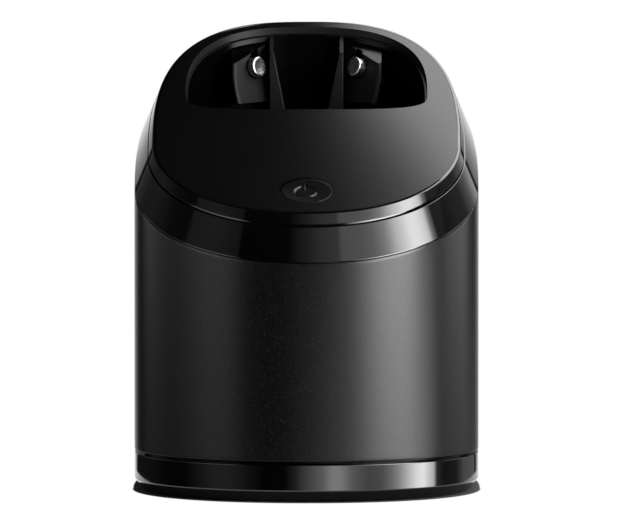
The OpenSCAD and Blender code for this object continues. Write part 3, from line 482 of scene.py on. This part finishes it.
MAKERS = {f.__name__: f for f in (gloss_black, satin_black, painted_shade_black, matte_black_and_lit_copy, shell_grey, inner_black, rubber_black, contact_metal,
                                  steel, board_green, cartridge_white, hose_clear)}
made_materials = {}


def material(slot):
    if slot not in made_materials:
        made_materials[slot] = MAKERS[slot](Nodes(slot))
    return made_materials[slot]


for part in frame["record"]["subparts"]:
    shown = NODES[part["node"]]
    shown.data.materials.clear()
    shown.data.materials.append(material(part["material_slot"]))

# ---------- camera ----------
ELEVATION = math.radians(5)
LENS, SENSOR, SPAN = 1200.0, 36.0, 0.2188
DISTANCE = SPAN * LENS / SENSOR
AIM = Vector((0.0007, WIDE_Y * MM, 0.0796))
cam_data = bpy.data.cameras.new("camera")
cam_data.lens = LENS
cam_data.sensor_width = SENSOR
cam_data.clip_start, cam_data.clip_end = 1, 30
camera = bpy.data.objects.new("camera", cam_data)
bpy.context.scene.collection.objects.link(camera)
camera.location = AIM + DISTANCE * Vector((0, -math.cos(ELEVATION), math.sin(ELEVATION)))
camera.rotation_euler = (math.radians(90) - ELEVATION, 0, 0)
bpy.context.scene.camera = camera

# ---------- base ----------
section = softened([(5.4, RING_Z), (CHAMFER_IN, RING_Z), (0, RING_Z + CHAMFER_H), (0, RING_TOP),
                    (WALL + 0.1, RING_TOP), (WALL + 0.1, RING_Z + 1.8), (5.4, RING_Z + 1.8)],
                   [0, 0.35, 0.12, 0.25, 0.15, 0, 0])
ring = band("base_ring_body", [body_ring(u, u, z) for u, z in section])
boolean(ring, soft_box("cut", (-BAY_HALF, REAR_CUT, FLOOR_Z), (BAY_HALF, BACK_Y + 60, 60)))
edge_soft(ring, 0.3)
place_part(shaded(ring), "base", "gloss_black", "base_ring")
# Painted shade: the ring's top faces, in the groove under the shell, get the dark shade copy.
paint(ring, "painted_shade_black", lambda c, n: c.z > RING_TOP - 0.01)
# Painted shade: the base tray, under the body, gets the dark shade copy.
NODES["base_tray"].data.materials[0] = material("painted_shade_black")

feet = []
for x in (-34.0, 34.0):
    for y in (WIDE_Y - 28, BACK_Y - 28):
        feet.append(turned("foot", [(0, 0.05), (2.2, 0.05), (2.6, 0), (5.4, 0), (5.8, 0.15), (6, 0.5), (6, 1.6), (0, 1.6)],
                           64, Matrix.Translation((x, y, 0))))


def joined(name, parts):
    """Several meshes as one object."""
    bm = bmesh.new()
    for o in parts:
        bm.from_mesh(o.data)
        bpy.data.objects.remove(o)
    mesh = bpy.data.meshes.new(name)
    bm.to_mesh(mesh)
    bm.free()
    obj = bpy.data.objects.new(name, mesh)
    bpy.context.scene.collection.objects.link(obj)
    return obj


place_part(shaded(joined("feet", feet)), "base", "rubber_black", "rubber_feet")

# ---------- housing ----------
# Painted shade: the shell's inner ledge gets the dark shade copy.
NODES["shell_ledge"].data.materials[0] = material("painted_shade_black")
STEPS_UP = 14
rings = []
for k in range(STEPS_UP + 1):
    lean = k / STEPS_UP
    edge = {0: [(0.15, 0.0), (0.04, 0.04), (0.0, 0.15)], STEPS_UP: [(0.0, -0.5), (0.12, -0.12), (0.5, 0.0)]}.get(k, [(0.0, 0.0)])
    for u, h in edge:
        rings.append(body_ring(u, u, SHELL_Z + (h if k == 0 else 0), h if k else 0, lean))
    if k == 0:
        rings.append(body_ring(0, 0, SHELL_Z + 1.2))
    if k == STEPS_UP - 1:
        rings.append(body_ring(0, 0, 0, -1.2, 1))
rings.append(body_ring(WALL, WALL, 0, 0, 1))
for k in range(STEPS_UP - 1, -1, -1):
    rings.append(body_ring(WALL, WALL, SHELL_Z, 0, k / STEPS_UP))
shell = band("shell_body", rings)
boolean(shell,
        soft_box("cut", (-BAY_HALF, REAR_CUT, -10), (BAY_HALF, BACK_Y + 60, BAY_TOP), 2.5, 5, edges="y"),
        soft_box("cut", (-RELEASE_HALF - 0.3, REAR_CUT, RELEASE_LOW - 0.3),
                 (RELEASE_HALF + 0.3, BACK_Y + 60, RELEASE_LOW + RELEASE_H + 0.3), 2.2, 5, edges="y"),
        soft_box("cut", (SOCKET_X - SOCKET_W / 2 - 0.1, REAR_CUT, SOCKET_Z - 0.1),
                 (SOCKET_X + SOCKET_W / 2 + 0.1, BACK_Y + 60, SOCKET_Z + SOCKET_H + 0.1), 1.6, 5, edges="y"))
edge_soft(shell, 0.35)
place_part(shaded(shell), "housing", "shell_grey", "outer_shell")


def cone_at(h, inset_side=0.0, inset_end=None):
    """A ring on the cone, h above the seam, drawn in by the insets."""
    inset_end = inset_side if inset_end is None else inset_end
    return body_ring(CONE_SIDE * h / CONE_H + inset_side, CONE_END * h / CONE_H + inset_end, 0, h, 1)


def cone_rings(section):
    return [cone_at(h, u) for u, h in section]


lower = softened([(0, 0), (0, SHOULDER_H), (1.9, SHOULDER_H), (WALL, SHOULDER_H - 1), (WALL, 0)],
                 [0.5, 0.15, 0, 0, 0])
support = []
for u, h in lower:
    support.append((u, h))
rings = cone_rings(support)
shoulder = band("shoulder_band", rings)
neck = band("neck", [body_ring(CONE_SIDE + NECK_OUT + d, CONE_END + NECK_OUT + d, 0, h, 1)
                     for d, h in ((0, SHOULDER_H - 2), (0, SHOULDER_H + CONE_GROOVE - 0.02),
                                  (1.9, SHOULDER_H + CONE_GROOVE - 0.02), (1.9, SHOULDER_H - 2))])
spigot = band("spigot", [body_ring(WALL + d, WALL + d, 0, h, 1)
                         for d, h in ((0.1, -3), (0.1, 1.5), (WALL, 1.5), (WALL, -3))])
place_part(shaded(joined("shoulder_ring_body", [shoulder, neck, spigot])), "housing", "gloss_black", "shoulder_ring")

TOP = CONE_H
low = SHOULDER_H + CONE_GROOVE
rings = []
outer = [(0.12, 0.0), (0.035, 0.035), (0.0, 0.12), (0.0, 0.9)]
rings += [cone_at(low + h, u) for u, h in outer]
rings += [cone_at(TOP - h, u) for u, h in ((0.0, 0.9), (0.0, 0.3), (0.09, 0.08), (0.3, 0.0), (RIM_W, 0.0))]


def cone_column(inset, h):
    """A ring on an upright wall that is drawn in from the cone's outline at its top."""
    return body_ring(CONE_SIDE + inset, CONE_END + inset, 0, h, 1)


rings += [cone_column(RIM_W, TOP - 0.5), cone_column(RIM_W, TOP - PLATE_T), cone_column(LEDGE_IN, TOP - PLATE_T),
          cone_column(LEDGE_IN, low)]
place_part(shaded(band("bezel_body", rings)), "housing", "gloss_black", "cover_bezel")

# ---------- top plate ----------
rings = [cone_column(RIM_W + 0.1, TOP - PLATE_T), cone_column(RIM_W + 0.1, TOP - 0.15), cone_column(RIM_W + 0.14, TOP - 0.04),
         cone_column(RIM_W + 0.25, TOP)]
plate = band("top_plate_body", rings, closed=False)
hole = band("hole", [well_ring(0, 60), well_ring(0, 260)], closed=False)
boolean(plate, hole, turned("cut", [(0, -8), (BUTTON_D / 2 + 0.25, -8), (BUTTON_D / 2 + 0.25, 8), (0, 8)], 128, BUTTON_AT))
edge_soft(plate, 0.07, 60, 2)
bosses = [turned("boss", [(1.25, -7.8), (2.2, -7.8), (2.2, -PLATE_T / 2 - 0.4), (0, -PLATE_T / 2 - 0.4), (0, -PLATE_T), (1.25, -PLATE_T)], 48,
                 BUTTON_AT @ Matrix.Translation((s * (BUTTON_D / 2 + 4.1), 0, 0))) for s in (-1, 1)]
UP = Vector((0, -math.sin(TILT), math.cos(TILT)))
FROM_BUTTON = BUTTON_AT.inverted()
plate = place_part(shaded(joined("top_plate_piece", [plate] + bosses)), "housing", "satin_black", "top_plate")
# Painted light: the plate's walls round the well opening get the lighter matte copy.
paint(plate, "matte_black_and_lit_copy", lambda c, n: abs(n.dot(UP)) < 0.5 and abs(c.x) < WELL_HALF + 1 and c.y > WIDE_Y + 20)
# Painted shade: the plate's wall round the start button, in the gap, gets the dark shade copy.
paint(plate, "painted_shade_black", lambda c, n: (FROM_BUTTON @ c).xy.length < BUTTON_D / 2 + 0.3 and abs(n.dot(UP)) < 0.5)

# ---------- start button ----------
SINK, DISH, RIM_R = 0.15, 0.3, BUTTON_D / 2 - 0.6
face = [(r, -SINK - DISH * (1 - (r / RIM_R) ** 2)) for r in np.linspace(0, RIM_R, 13)]
face += [(BUTTON_D / 2 - 0.4, -SINK - 0.03), (BUTTON_D / 2 - 0.3, -SINK - 0.13), (BUTTON_D / 2 - 0.28, -1.2), (BUTTON_D / 2, -1.3), (BUTTON_D / 2, -2.5), (BUTTON_D / 2 + 1.2, -2.5),
         (BUTTON_D / 2 + 1.2, -3.7), (1.6, -3.7), (1.6, -5.2), (0, -5.2)]
button = turned("start_button_cap", face, 128, BUTTON_AT)
MARK_R, MARK_W, MARK_TOP, MARK_DEEP, MARK_SLOPE = 4.6, 1.3, 0.3, 0.95, 0.62


def mark_cutter():
    """The open ring and the stroke of the power symbol, as a solid to sink into the cap."""
    parts = []
    gap_angle = math.asin(1.7 / MARK_R)
    a = np.linspace(math.pi / 2 + gap_angle, 2.5 * math.pi - gap_angle, 97)
    verts, faces = [], []
    for t in a:
        for r, z in ((MARK_R - MARK_W, 1), (MARK_R, 1), (MARK_R, -MARK_TOP), (MARK_R - MARK_SLOPE, -MARK_DEEP),
                     (MARK_R - MARK_W + MARK_SLOPE, -MARK_DEEP), (MARK_R - MARK_W, -MARK_TOP)):
            verts.append(BUTTON_AT @ Vector((r * math.cos(t), r * math.sin(t), z)))
    for i in range(len(a) - 1):
        for k in range(6):
            p, q = i * 6 + k, i * 6 + (k + 1) % 6
            faces.append((p, q, q + 6, p + 6))
    faces += [tuple(range(6)), tuple(len(verts) - 1 - k for k in range(6))]
    parts.append(mesh_object("mark", np.array(verts), faces))
    half = MARK_W / 2
    section = [(-half, 1), (half, 1), (half, -MARK_TOP - 0.06), (half - MARK_SLOPE, -MARK_DEEP), (MARK_SLOPE - half, -MARK_DEEP),
               (-half, -MARK_TOP - 0.06)]
    verts = [BUTTON_AT @ Vector((x, y, z)) for y in (1.2, MARK_R + 0.5) for x, z in section]
    faces = [tuple(range(6)), tuple(range(11, 5, -1))] + [(i, (i + 1) % 6, 6 + (i + 1) % 6, 6 + i) for i in range(6)]
    parts.append(mesh_object("mark", np.array(verts), faces))
    return parts


boolean(button, *mark_cutter())
button = place_part(shaded(button), "start", "satin_black", "start_button")
# Painted shade: the cap's side below the plate, in the gap round it, gets the dark shade copy.
paint(button, "painted_shade_black", lambda c, n: (FROM_BUTTON @ c).xy.length > BUTTON_D / 2 - 0.35 and (FROM_BUTTON @ c).z < -0.35)

# ---------- wash well ----------
outer = [well_ring(LINER_IN - LINER_WALL, WELL_FLOOR - 2), well_ring(LINER_IN - LINER_WALL, WELL_FLOOR + 160)]
liner = band("liner_body", outer, closed=False)
FILLET = 4.5
inner = []
for t in np.linspace(0, 1, 7):
    inner.append(well_ring(LINER_IN + FILLET * (1 - math.sin(t * math.pi / 2)),
                           WELL_FLOOR + FILLET * (1 - math.cos(t * math.pi / 2))))
inner.append(well_ring(LINER_IN, WELL_FLOOR + 200))
cavity = band("cut", inner, closed=False)
above = soft_box("cut", (-200, -200, 0), (200, 200, 300), place=Matrix.Translation((0, WIDE_Y, LINER_TOP)) @ Matrix.Rotation(TILT, 4, "X"))
boolean(liner, cavity)


def rib(side):
    """One rib beside the well's middle; it leans inward towards the floor."""
    x = [13.2, 13.2, 12.4, 11.8, 7.0, 7.0]
    z = [WELL_FLOOR - 1, WELL_FLOOR + 80, WELL_FLOOR + 80, WELL_FLOOR + 40, WELL_FLOOR + 16, WELL_FLOOR - 1]
    front, back = WIDE_Y + PIN_BACK - 2, WIDE_Y + WELL_MID + WELL_REAR - LINER_IN + 0.9
    verts = [(side * a, y, b) for y in (front, back) for a, b in zip(x, z)]
    faces = [tuple(range(6)), tuple(range(11, 5, -1))] + [(i, (i + 1) % 6, 6 + (i + 1) % 6, 6 + i) for i in range(6)]
    o = mesh_object("rib", np.array(verts), faces)
    m = o.modifiers.new("edges", "BEVEL")
    m.width, m.segments, m.limit_method, m.angle_limit = 1.1 * MM, 4, "ANGLE", math.radians(20)
    return applied(o)


boolean(liner, rib(-1), rib(1), how="UNION")
boolean(liner, above,
        turned("cut", [(0, WELL_FLOOR - 6), (BASIN_R, WELL_FLOOR - 6), (BASIN_R, WELL_FLOOR - 1.2), (BASIN_R + 0.25, WELL_FLOOR - 0.5),
                       (BASIN_R + 1.2, WELL_FLOOR + 0.001), (BASIN_R + 1.2, WELL_FLOOR + 0.02), (0, WELL_FLOOR + 0.02)], 128,
               Matrix.Translation((0, BASIN_Y, 0))),
        soft_box("cut", (-7, WIDE_Y + WELL_MID, WELL_FLOOR + 6), (7, WIDE_Y + WELL_MID + WELL_REAR - LINER_IN + 0.6, LINER_TOP + 60)),
        *[turned("cut", [(0, -100), (PIN_D / 2 + 1.5, -100), (PIN_D / 2 + 1.5, 0), (0, 0)], 64, pin_at(s)) for s in (-1, 1)])
edge_soft(liner, 0.2, 55)
# Painted shade: the whole liner wears the dark shade copy instead of its gloss black.
place_part(shaded(liner), "housing", "gloss_black", "recess_liner", look="painted_shade_black")
# Painted light: its upward faces high in the well and the ribs' front faces get the lighter matte copy.
paint(liner, "matte_black_and_lit_copy", lambda c, n: n.dot(UP) > 0.9 and c.z > WELL_FLOOR + 8
      or 6.9 < abs(c.x) < 13.6 and abs(c.y - WIDE_Y - PIN_BACK) < 3 and n.y < -0.2)


def pod(side):
    """A pod beside a rib: its face is square to the pin, its outer corner is round, and a drop shape is sunk in it."""
    at = pin_at(side)
    seat_y, seat_z = WIDE_Y + PIN_BACK, PLATE_Z + PIN_BACK * SLOPE - PIN_DROP
    rings = []
    for h, out in ((-POD_DOWN, POD_OUT - 1.7), (-9.5, POD_OUT - 1.1), (-6, POD_OUT - 0.4), (-2, POD_OUT), (6, POD_OUT), (20, POD_OUT)):
        front = [seat_y + (PIN_X - u) * math.tan(PIN_YAW) + h * math.tan(PIN_LEAN) / math.cos(PIN_YAW) for u in (out, POD_IN)]
        plan = softened([(out, seat_y + 40), (out, front[0]), (POD_IN, front[1]), (POD_IN, seat_y + 40)], [0, 3.4, 0.7, 0], 8)
        rings.append(np.array([(side * u, y, seat_z + h) for u, y in plan]))
    block = band("pod_left_body" if side < 0 else "pod_right_body", rings, closed=False)
    inside = band("cut", [well_ring(LINER_IN + 0.1, WELL_FLOOR + 8), well_ring(LINER_IN + 0.1, 300)], closed=False)
    boolean(block, inside, how="INTERSECT")
    top = soft_box("cut", (-200, -200, 0), (200, 200, 300),
                   place=Matrix.Translation((0, WIDE_Y, LINER_TOP - 1.6)) @ Matrix.Rotation(TILT, 4, "X"))
    boolean(block, top)
    drop = []
    turn = Matrix.Rotation(side * math.radians(19), 4, "Z")
    r = PIN_D / 2 + 0.45
    for z in (-1.0, 2.0):
        a0 = math.radians(38)
        arc = [(r * math.sin(t), r * math.cos(t)) for t in np.linspace(a0, 2 * math.pi - a0, 60)]
        tip = [(-1.4 * math.cos(t), 6.5 + 1.4 * math.sin(t)) for t in np.linspace(0.3, math.pi - 0.3, 12)]
        drop.append(np.array([at @ turn @ Vector((p, q, z)) for p, q in arc + tip]))
    boolean(block, band("cut", drop, closed=False),
            turned("cut", [(0, -8), (PIN_D / 2 + 0.05, -8), (PIN_D / 2 + 0.05, 3), (0, 3)], 64, at))
    edge_soft(block, 0.25, 50, 3)
    return block


for side, name in ((-1, "left"), (1, "right")):
    block = place_part(shaded(pod(side)), "housing", "satin_black", "contact_pod_" + name, look="matte_black_and_lit_copy")
    away = pin_at(side).inverted()
    # Painted shade: the pod's upward faces and the floor of the drop-shaped dish round the pin get the dark shade copy.
    paint(block, "painted_shade_black", lambda c, n: n.dot(UP) > 0.95 or -1.2 < (away @ c).z < -0.1 and (away @ c).xy.length < 9)
    r = PIN_D / 2
    pin = turned("pin_" + name, [(0, PIN_PROUD - 0.12), (r - 1.5, PIN_PROUD - 0.12), (r - 1.1, PIN_PROUD), (r - 0.45, PIN_PROUD),
                                 (r - 0.13, PIN_PROUD - 0.13), (r, PIN_PROUD - 0.45), (r, -3.2), (1.2, -3.2), (1.2, -8.8), (0, -8.8)],
                 96, pin_at(side))
    place_part(shaded(pin), "contact_" + name[0], "contact_metal", "contact_" + name)

# ---------- rear: lift button and power socket ----------
lift = soft_box("lift_button_cap", (-RELEASE_HALF, BACK_Y - 12.5, RELEASE_LOW), (RELEASE_HALF, BACK_Y + 5, RELEASE_LOW + RELEASE_H),
                2.0, 5, edges="y")
boolean(lift, band("cut", [body_ring(0.3, 0.3, RELEASE_LOW - 3), body_ring(0.3, 0.3, RELEASE_LOW + RELEASE_H + 3)], closed=False),
        how="INTERSECT")
dish = soft_box("cut", (-8.5, BACK_Y - 1.1, RELEASE_LOW + 2.2), (8.5, BACK_Y + 6, RELEASE_LOW + RELEASE_H - 2.2), 3.6, 6, edges="y")
boolean(lift, dish)
edge_soft(lift, 0.45, 50, 3)
flange = soft_box("flange", (-RELEASE_HALF - 2, BACK_Y - 6.8, RELEASE_LOW - 1.4), (RELEASE_HALF + 2, BACK_Y - 4.8, RELEASE_LOW + RELEASE_H + 1.4), 0.4, 2)
place_part(shaded(joined("lift_button_piece", [lift, flange])), "release", "satin_black", "lift_button")

socket = soft_box("socket_body", (SOCKET_X - SOCKET_W / 2, BACK_Y - 20, SOCKET_Z), (SOCKET_X + SOCKET_W / 2, BACK_Y + 5, SOCKET_Z + SOCKET_H),
                  1.5, 5, edges="y")
boolean(socket, band("cut", [body_ring(0.3, 0.3, SOCKET_Z - 3), body_ring(0.3, 0.3, SOCKET_Z + SOCKET_H + 3)], closed=False),
        how="INTERSECT")
boolean(socket, soft_box("cut", (SOCKET_X - SOCKET_W / 2 + 1.4, BACK_Y - 14, SOCKET_Z + 1.4),
                         (SOCKET_X + SOCKET_W / 2 - 1.4, BACK_Y + 6, SOCKET_Z + SOCKET_H - 1.4), 2.4, 6, edges="y"),
        *[turned("cut", [(0, -30), (0.95, -30), (0.95, 30), (0, 30)], 32,
                 Matrix.Translation((SOCKET_X + s * 3.3, BACK_Y - 9, SOCKET_Z + SOCKET_H / 2)) @ Matrix.Rotation(math.radians(90), 4, "X"))
          for s in (-1, 1)])
edge_soft(socket, 0.3, 50)
place_part(shaded(socket), "housing", "inner_black", "power_socket")

# ---------- studio ----------
AXIS = Vector((0, WIDE_Y * MM, 0))


class Shader:
    """The shader nodes of a lamp wall, the floor or the world."""

    def __init__(self, tree):
        self.tree = tree
        tree.nodes.clear()

    def add(self, kind, **values):
        node = self.tree.nodes.new("ShaderNode" + kind)
        for key, value in values.items():
            setattr(node, key, value)
        return node

    def feed(self, node, *inputs):
        """Fills a node's inputs in order, with sockets or numbers, and gives its first output."""
        for socket, value in zip(node.inputs, inputs):
            if isinstance(value, bpy.types.NodeSocket):
                self.tree.links.new(value, socket)
            elif value is not None:
                socket.default_value = value
        return node.outputs[0] if node.outputs else None

    def math(self, operation, *inputs):
        return self.feed(self.add("Math", operation=operation), *inputs)

    def fade(self, value, start, end, low=0.0, high=1.0):
        node = self.add("MapRange", interpolation_type="SMOOTHSTEP")
        return self.feed(node, value, start, end, low, high)

    def ramp(self, value, stops):
        node = self.add("ValToRGB")
        elements = node.color_ramp.elements
        while len(elements) < len(stops):
            elements.new(0.5)
        for e, (at, level) in zip(elements, stops):
            e.position = at
            e.color = (level, level, level, 1)
        self.tree.links.new(value, node.inputs["Fac"])
        return node.outputs["Color"]


def panel(name, verts, faces, place=None):
    """A lamp surface that the camera doesn't see, and its shader."""
    mesh = bpy.data.meshes.new(name)
    mesh.from_pydata(verts, [], faces)
    obj = bpy.data.objects.new(name, mesh)
    bpy.context.scene.collection.objects.link(obj)
    obj.matrix_world = place if place is not None else Matrix.Translation(AXIS)
    obj.visible_camera = False
    mat = bpy.data.materials.new(name)
    mat.use_nodes = True
    mesh.materials.append(mat)
    return Shader(mat.node_tree)


def wall(name, radius, low, high, strength, stops):
    """A round wall of soft light. stops gives its brightness at each azimuth in degrees, from the front to the right."""
    start, end = stops[0][0], stops[-1][0]
    a = np.radians(np.linspace(start, end, 61))
    verts = [(radius * math.sin(t), -radius * math.cos(t), z) for t in a for z in (low, high)]
    s = panel(name, verts, [(2 * i, 2 * i + 2, 2 * i + 3, 2 * i + 1) for i in range(60)])
    split = s.add("SeparateXYZ")
    s.feed(split, s.add("TexCoord").outputs["Object"])
    azimuth = s.math("ARCTAN2", split.outputs["X"], s.math("MULTIPLY", split.outputs["Y"], -1.0))
    share = s.feed(s.add("MapRange"), azimuth, math.radians(start), math.radians(end), 0.0, 1.0)
    light = s.feed(s.add("Emission"), s.ramp(share, [((d - start) / (end - start), v) for d, v in stops]), strength)
    s.feed(s.add("OutputMaterial"), light)


def card(name, centre, size, aim, strength):
    """A flat card of soft light."""
    turn = (Vector(aim) - Vector(centre)).to_track_quat("Z", "Y").to_matrix().to_4x4()
    w, h = size[0] / 2, size[1] / 2
    s = panel(name, [(-w, -h, 0), (w, -h, 0), (w, h, 0), (-w, h, 0)], [(0, 1, 2, 3)], Matrix.Translation(centre) @ turn)
    s.feed(s.add("OutputMaterial"), s.feed(s.add("Emission"), (1, 1, 1, 1), strength))


def background_rays(s):
    """1 for camera, glossy and transmission rays."""
    ways = s.add("LightPath").outputs
    return s.math("MAXIMUM", s.math("MAXIMUM", ways["Is Camera Ray"], ways["Is Glossy Ray"]), ways["Is Transmission Ray"])


wall("wall_low", 1.5, -0.17, -0.08, 9.0, [
    (-150, 0.002), (-118, 0.003), (-90, 0.001), (-78, 0.001), (-66, 0.006), (-53, 0.016), (-42, 0.016), (-28, 0.005),
    (-20, 0.0), (-9, 0.0), (-4, 0.015), (0, 0.06), (7, 0.14), (11, 0.26), (15, 0.26), (22, 0.12), (32, 0.065), (40, 0.08),
    (47, 0.17), (53, 0.32), (60, 0.6), (67, 0.9), (73, 1.0), (78, 0.7), (83, 0.5), (86, 0.02), (95, 0.005), (112, 0.008),
    (124, 0.04), (150, 0.03)])
wall("wall_middle", 1.5, -0.04, 0.67, 12.0, [
    (-74, 0.06), (-56, 0.1), (-42, 0.1), (-32, 0.0), (20, 0.0), (28, 0.3), (39, 0.9), (50, 1.0), (62, 0.85), (69, 0.0)])
wall("wall_sides", 1.51, -0.04, 0.2, 12.0, [
    (-138, 0.0), (-124, 0.06), (-90, 0.04), (-74, 0.06), (-72, 0.0), (68, 0.0), (88, 0.0), (98, 0.17), (124, 0.15), (134, 0.0)])
wall("wall_ends", 1.51, 0.2, 0.67, 1.0, [
    (-150, 0.1), (-128, 0.06), (-112, 0.08), (-98, 0.05), (-90, 0.03), (-74, 0.02), (68, 0.0), (84, 0.04), (96, 0.07),
    (104, 0.11), (120, 0.13), (126, 0.28), (134, 0.42), (145, 0.9), (150, 0.9)])
wall("wall_high", 1.5, 0.67, 1.35, 9.0, [
    (-150, 0.01), (-128, 0.006), (-112, 0.009), (-98, 0.006), (-91, 0.0035), (-72.5, 0.0015), (-70, 0.01), (-52, 0.0125),
    (-38, 0.008), (-34.5, 0.0078), (-33, 0.0), (-7.5, 0.0), (-5, 0.0033), (0, 0.0135), (5, 0.0285), (10, 0.038),
    (14.2, 0.042), (15.5, 0.085), (27, 0.099), (34, 0.133), (38, 0.19), (42, 0.25), (46, 0.41), (50, 0.59), (55, 0.74),
    (60, 0.945), (66, 0.96), (72, 0.78), (75, 0.6), (77.5, 0.2), (82, 0.012), (150, 0.05)])
card("plate_light", (0.1155, 0.0459, 0.238), (0.3, 0.1), (0.02, -0.01, 0.12), 3.4)

FLOOR_R = 0.095
floor_mesh = bpy.data.meshes.new("floor")
floor_mesh.from_pydata([(FLOOR_R * math.cos(t), FLOOR_R * math.sin(t), 0) for t in np.linspace(0, 2 * math.pi, 97)[:-1]],
                       [], [tuple(range(96))])
floor = bpy.data.objects.new("floor", floor_mesh)
bpy.context.scene.collection.objects.link(floor)
floor_material = bpy.data.materials.new("floor")
floor_material.use_nodes = True
floor_mesh.materials.append(floor_material)
s = Shader(floor_material.node_tree)
# Painted shade: under and right round the body the floor is a dark grey, 0.12, on top of the real shadow it takes;
# further out it turns white.
painted_shade_floor = s.feed(s.add("BsdfDiffuse"), (0.12, 0.12, 0.12, 1))
glow = s.feed(s.add("Emission"), (1, 1, 1, 1), 1.0)
# How far out a point lies: the body's own outline is 1.
split = s.add("SeparateXYZ")
s.feed(split, s.add("TexCoord").outputs["Object"])
along = s.math("SUBTRACT", split.outputs["Y"], WIDE_Y * MM)
in_front = s.math("LESS_THAN", along, 0.0)
power = s.math("MULTIPLY_ADD", in_front, FRONT_POWER - REAR_POWER, REAR_POWER)
per_reach = s.math("MULTIPLY_ADD", in_front, (1 / FRONT_D - 1 / REAR_D) / MM, 1 / REAR_D / MM)
sideways = s.math("POWER", s.math("MULTIPLY", s.math("ABSOLUTE", split.outputs["X"]), 2 / BODY_W / MM), power)
endways = s.math("POWER", s.math("MULTIPLY", s.math("ABSOLUTE", along), per_reach), power)
share = s.math("MULTIPLY", background_rays(s), s.fade(s.math("ADD", sideways, endways), 1.01, 1.04))
mix = s.feed(s.add("MixShader"), share, painted_shade_floor, glow)
s.feed(s.add("OutputMaterial"), mix)

world = bpy.data.worlds.new("studio")
bpy.context.scene.world = world
world.use_nodes = True
s = Shader(world.node_tree)
ways = s.add("LightPath").outputs
facing = s.add("VectorMath", operation="DOT_PRODUCT")
s.feed(facing, s.add("TexCoord").outputs["Generated"], (0, 1, 0))
backdrop = s.fade(facing.outputs["Value"], 0.9, 0.985)
seen = s.math("MAXIMUM", ways["Is Camera Ray"],
              s.math("MULTIPLY", s.math("MAXIMUM", ways["Is Glossy Ray"], ways["Is Transmission Ray"]), backdrop))
level = s.feed(s.add("MapRange"), ways["Is Diffuse Ray"], 0.0, 1.0, 0.006, 0.15)
room = s.feed(s.add("Background"), (1, 1, 1, 1), level)
white = s.feed(s.add("Background"), (1, 1, 1, 1), 1.0)
s.feed(s.add("OutputWorld"), s.feed(s.add("MixShader"), seen, room, white))

bpy.context.scene.view_settings.view_transform = "Standard"
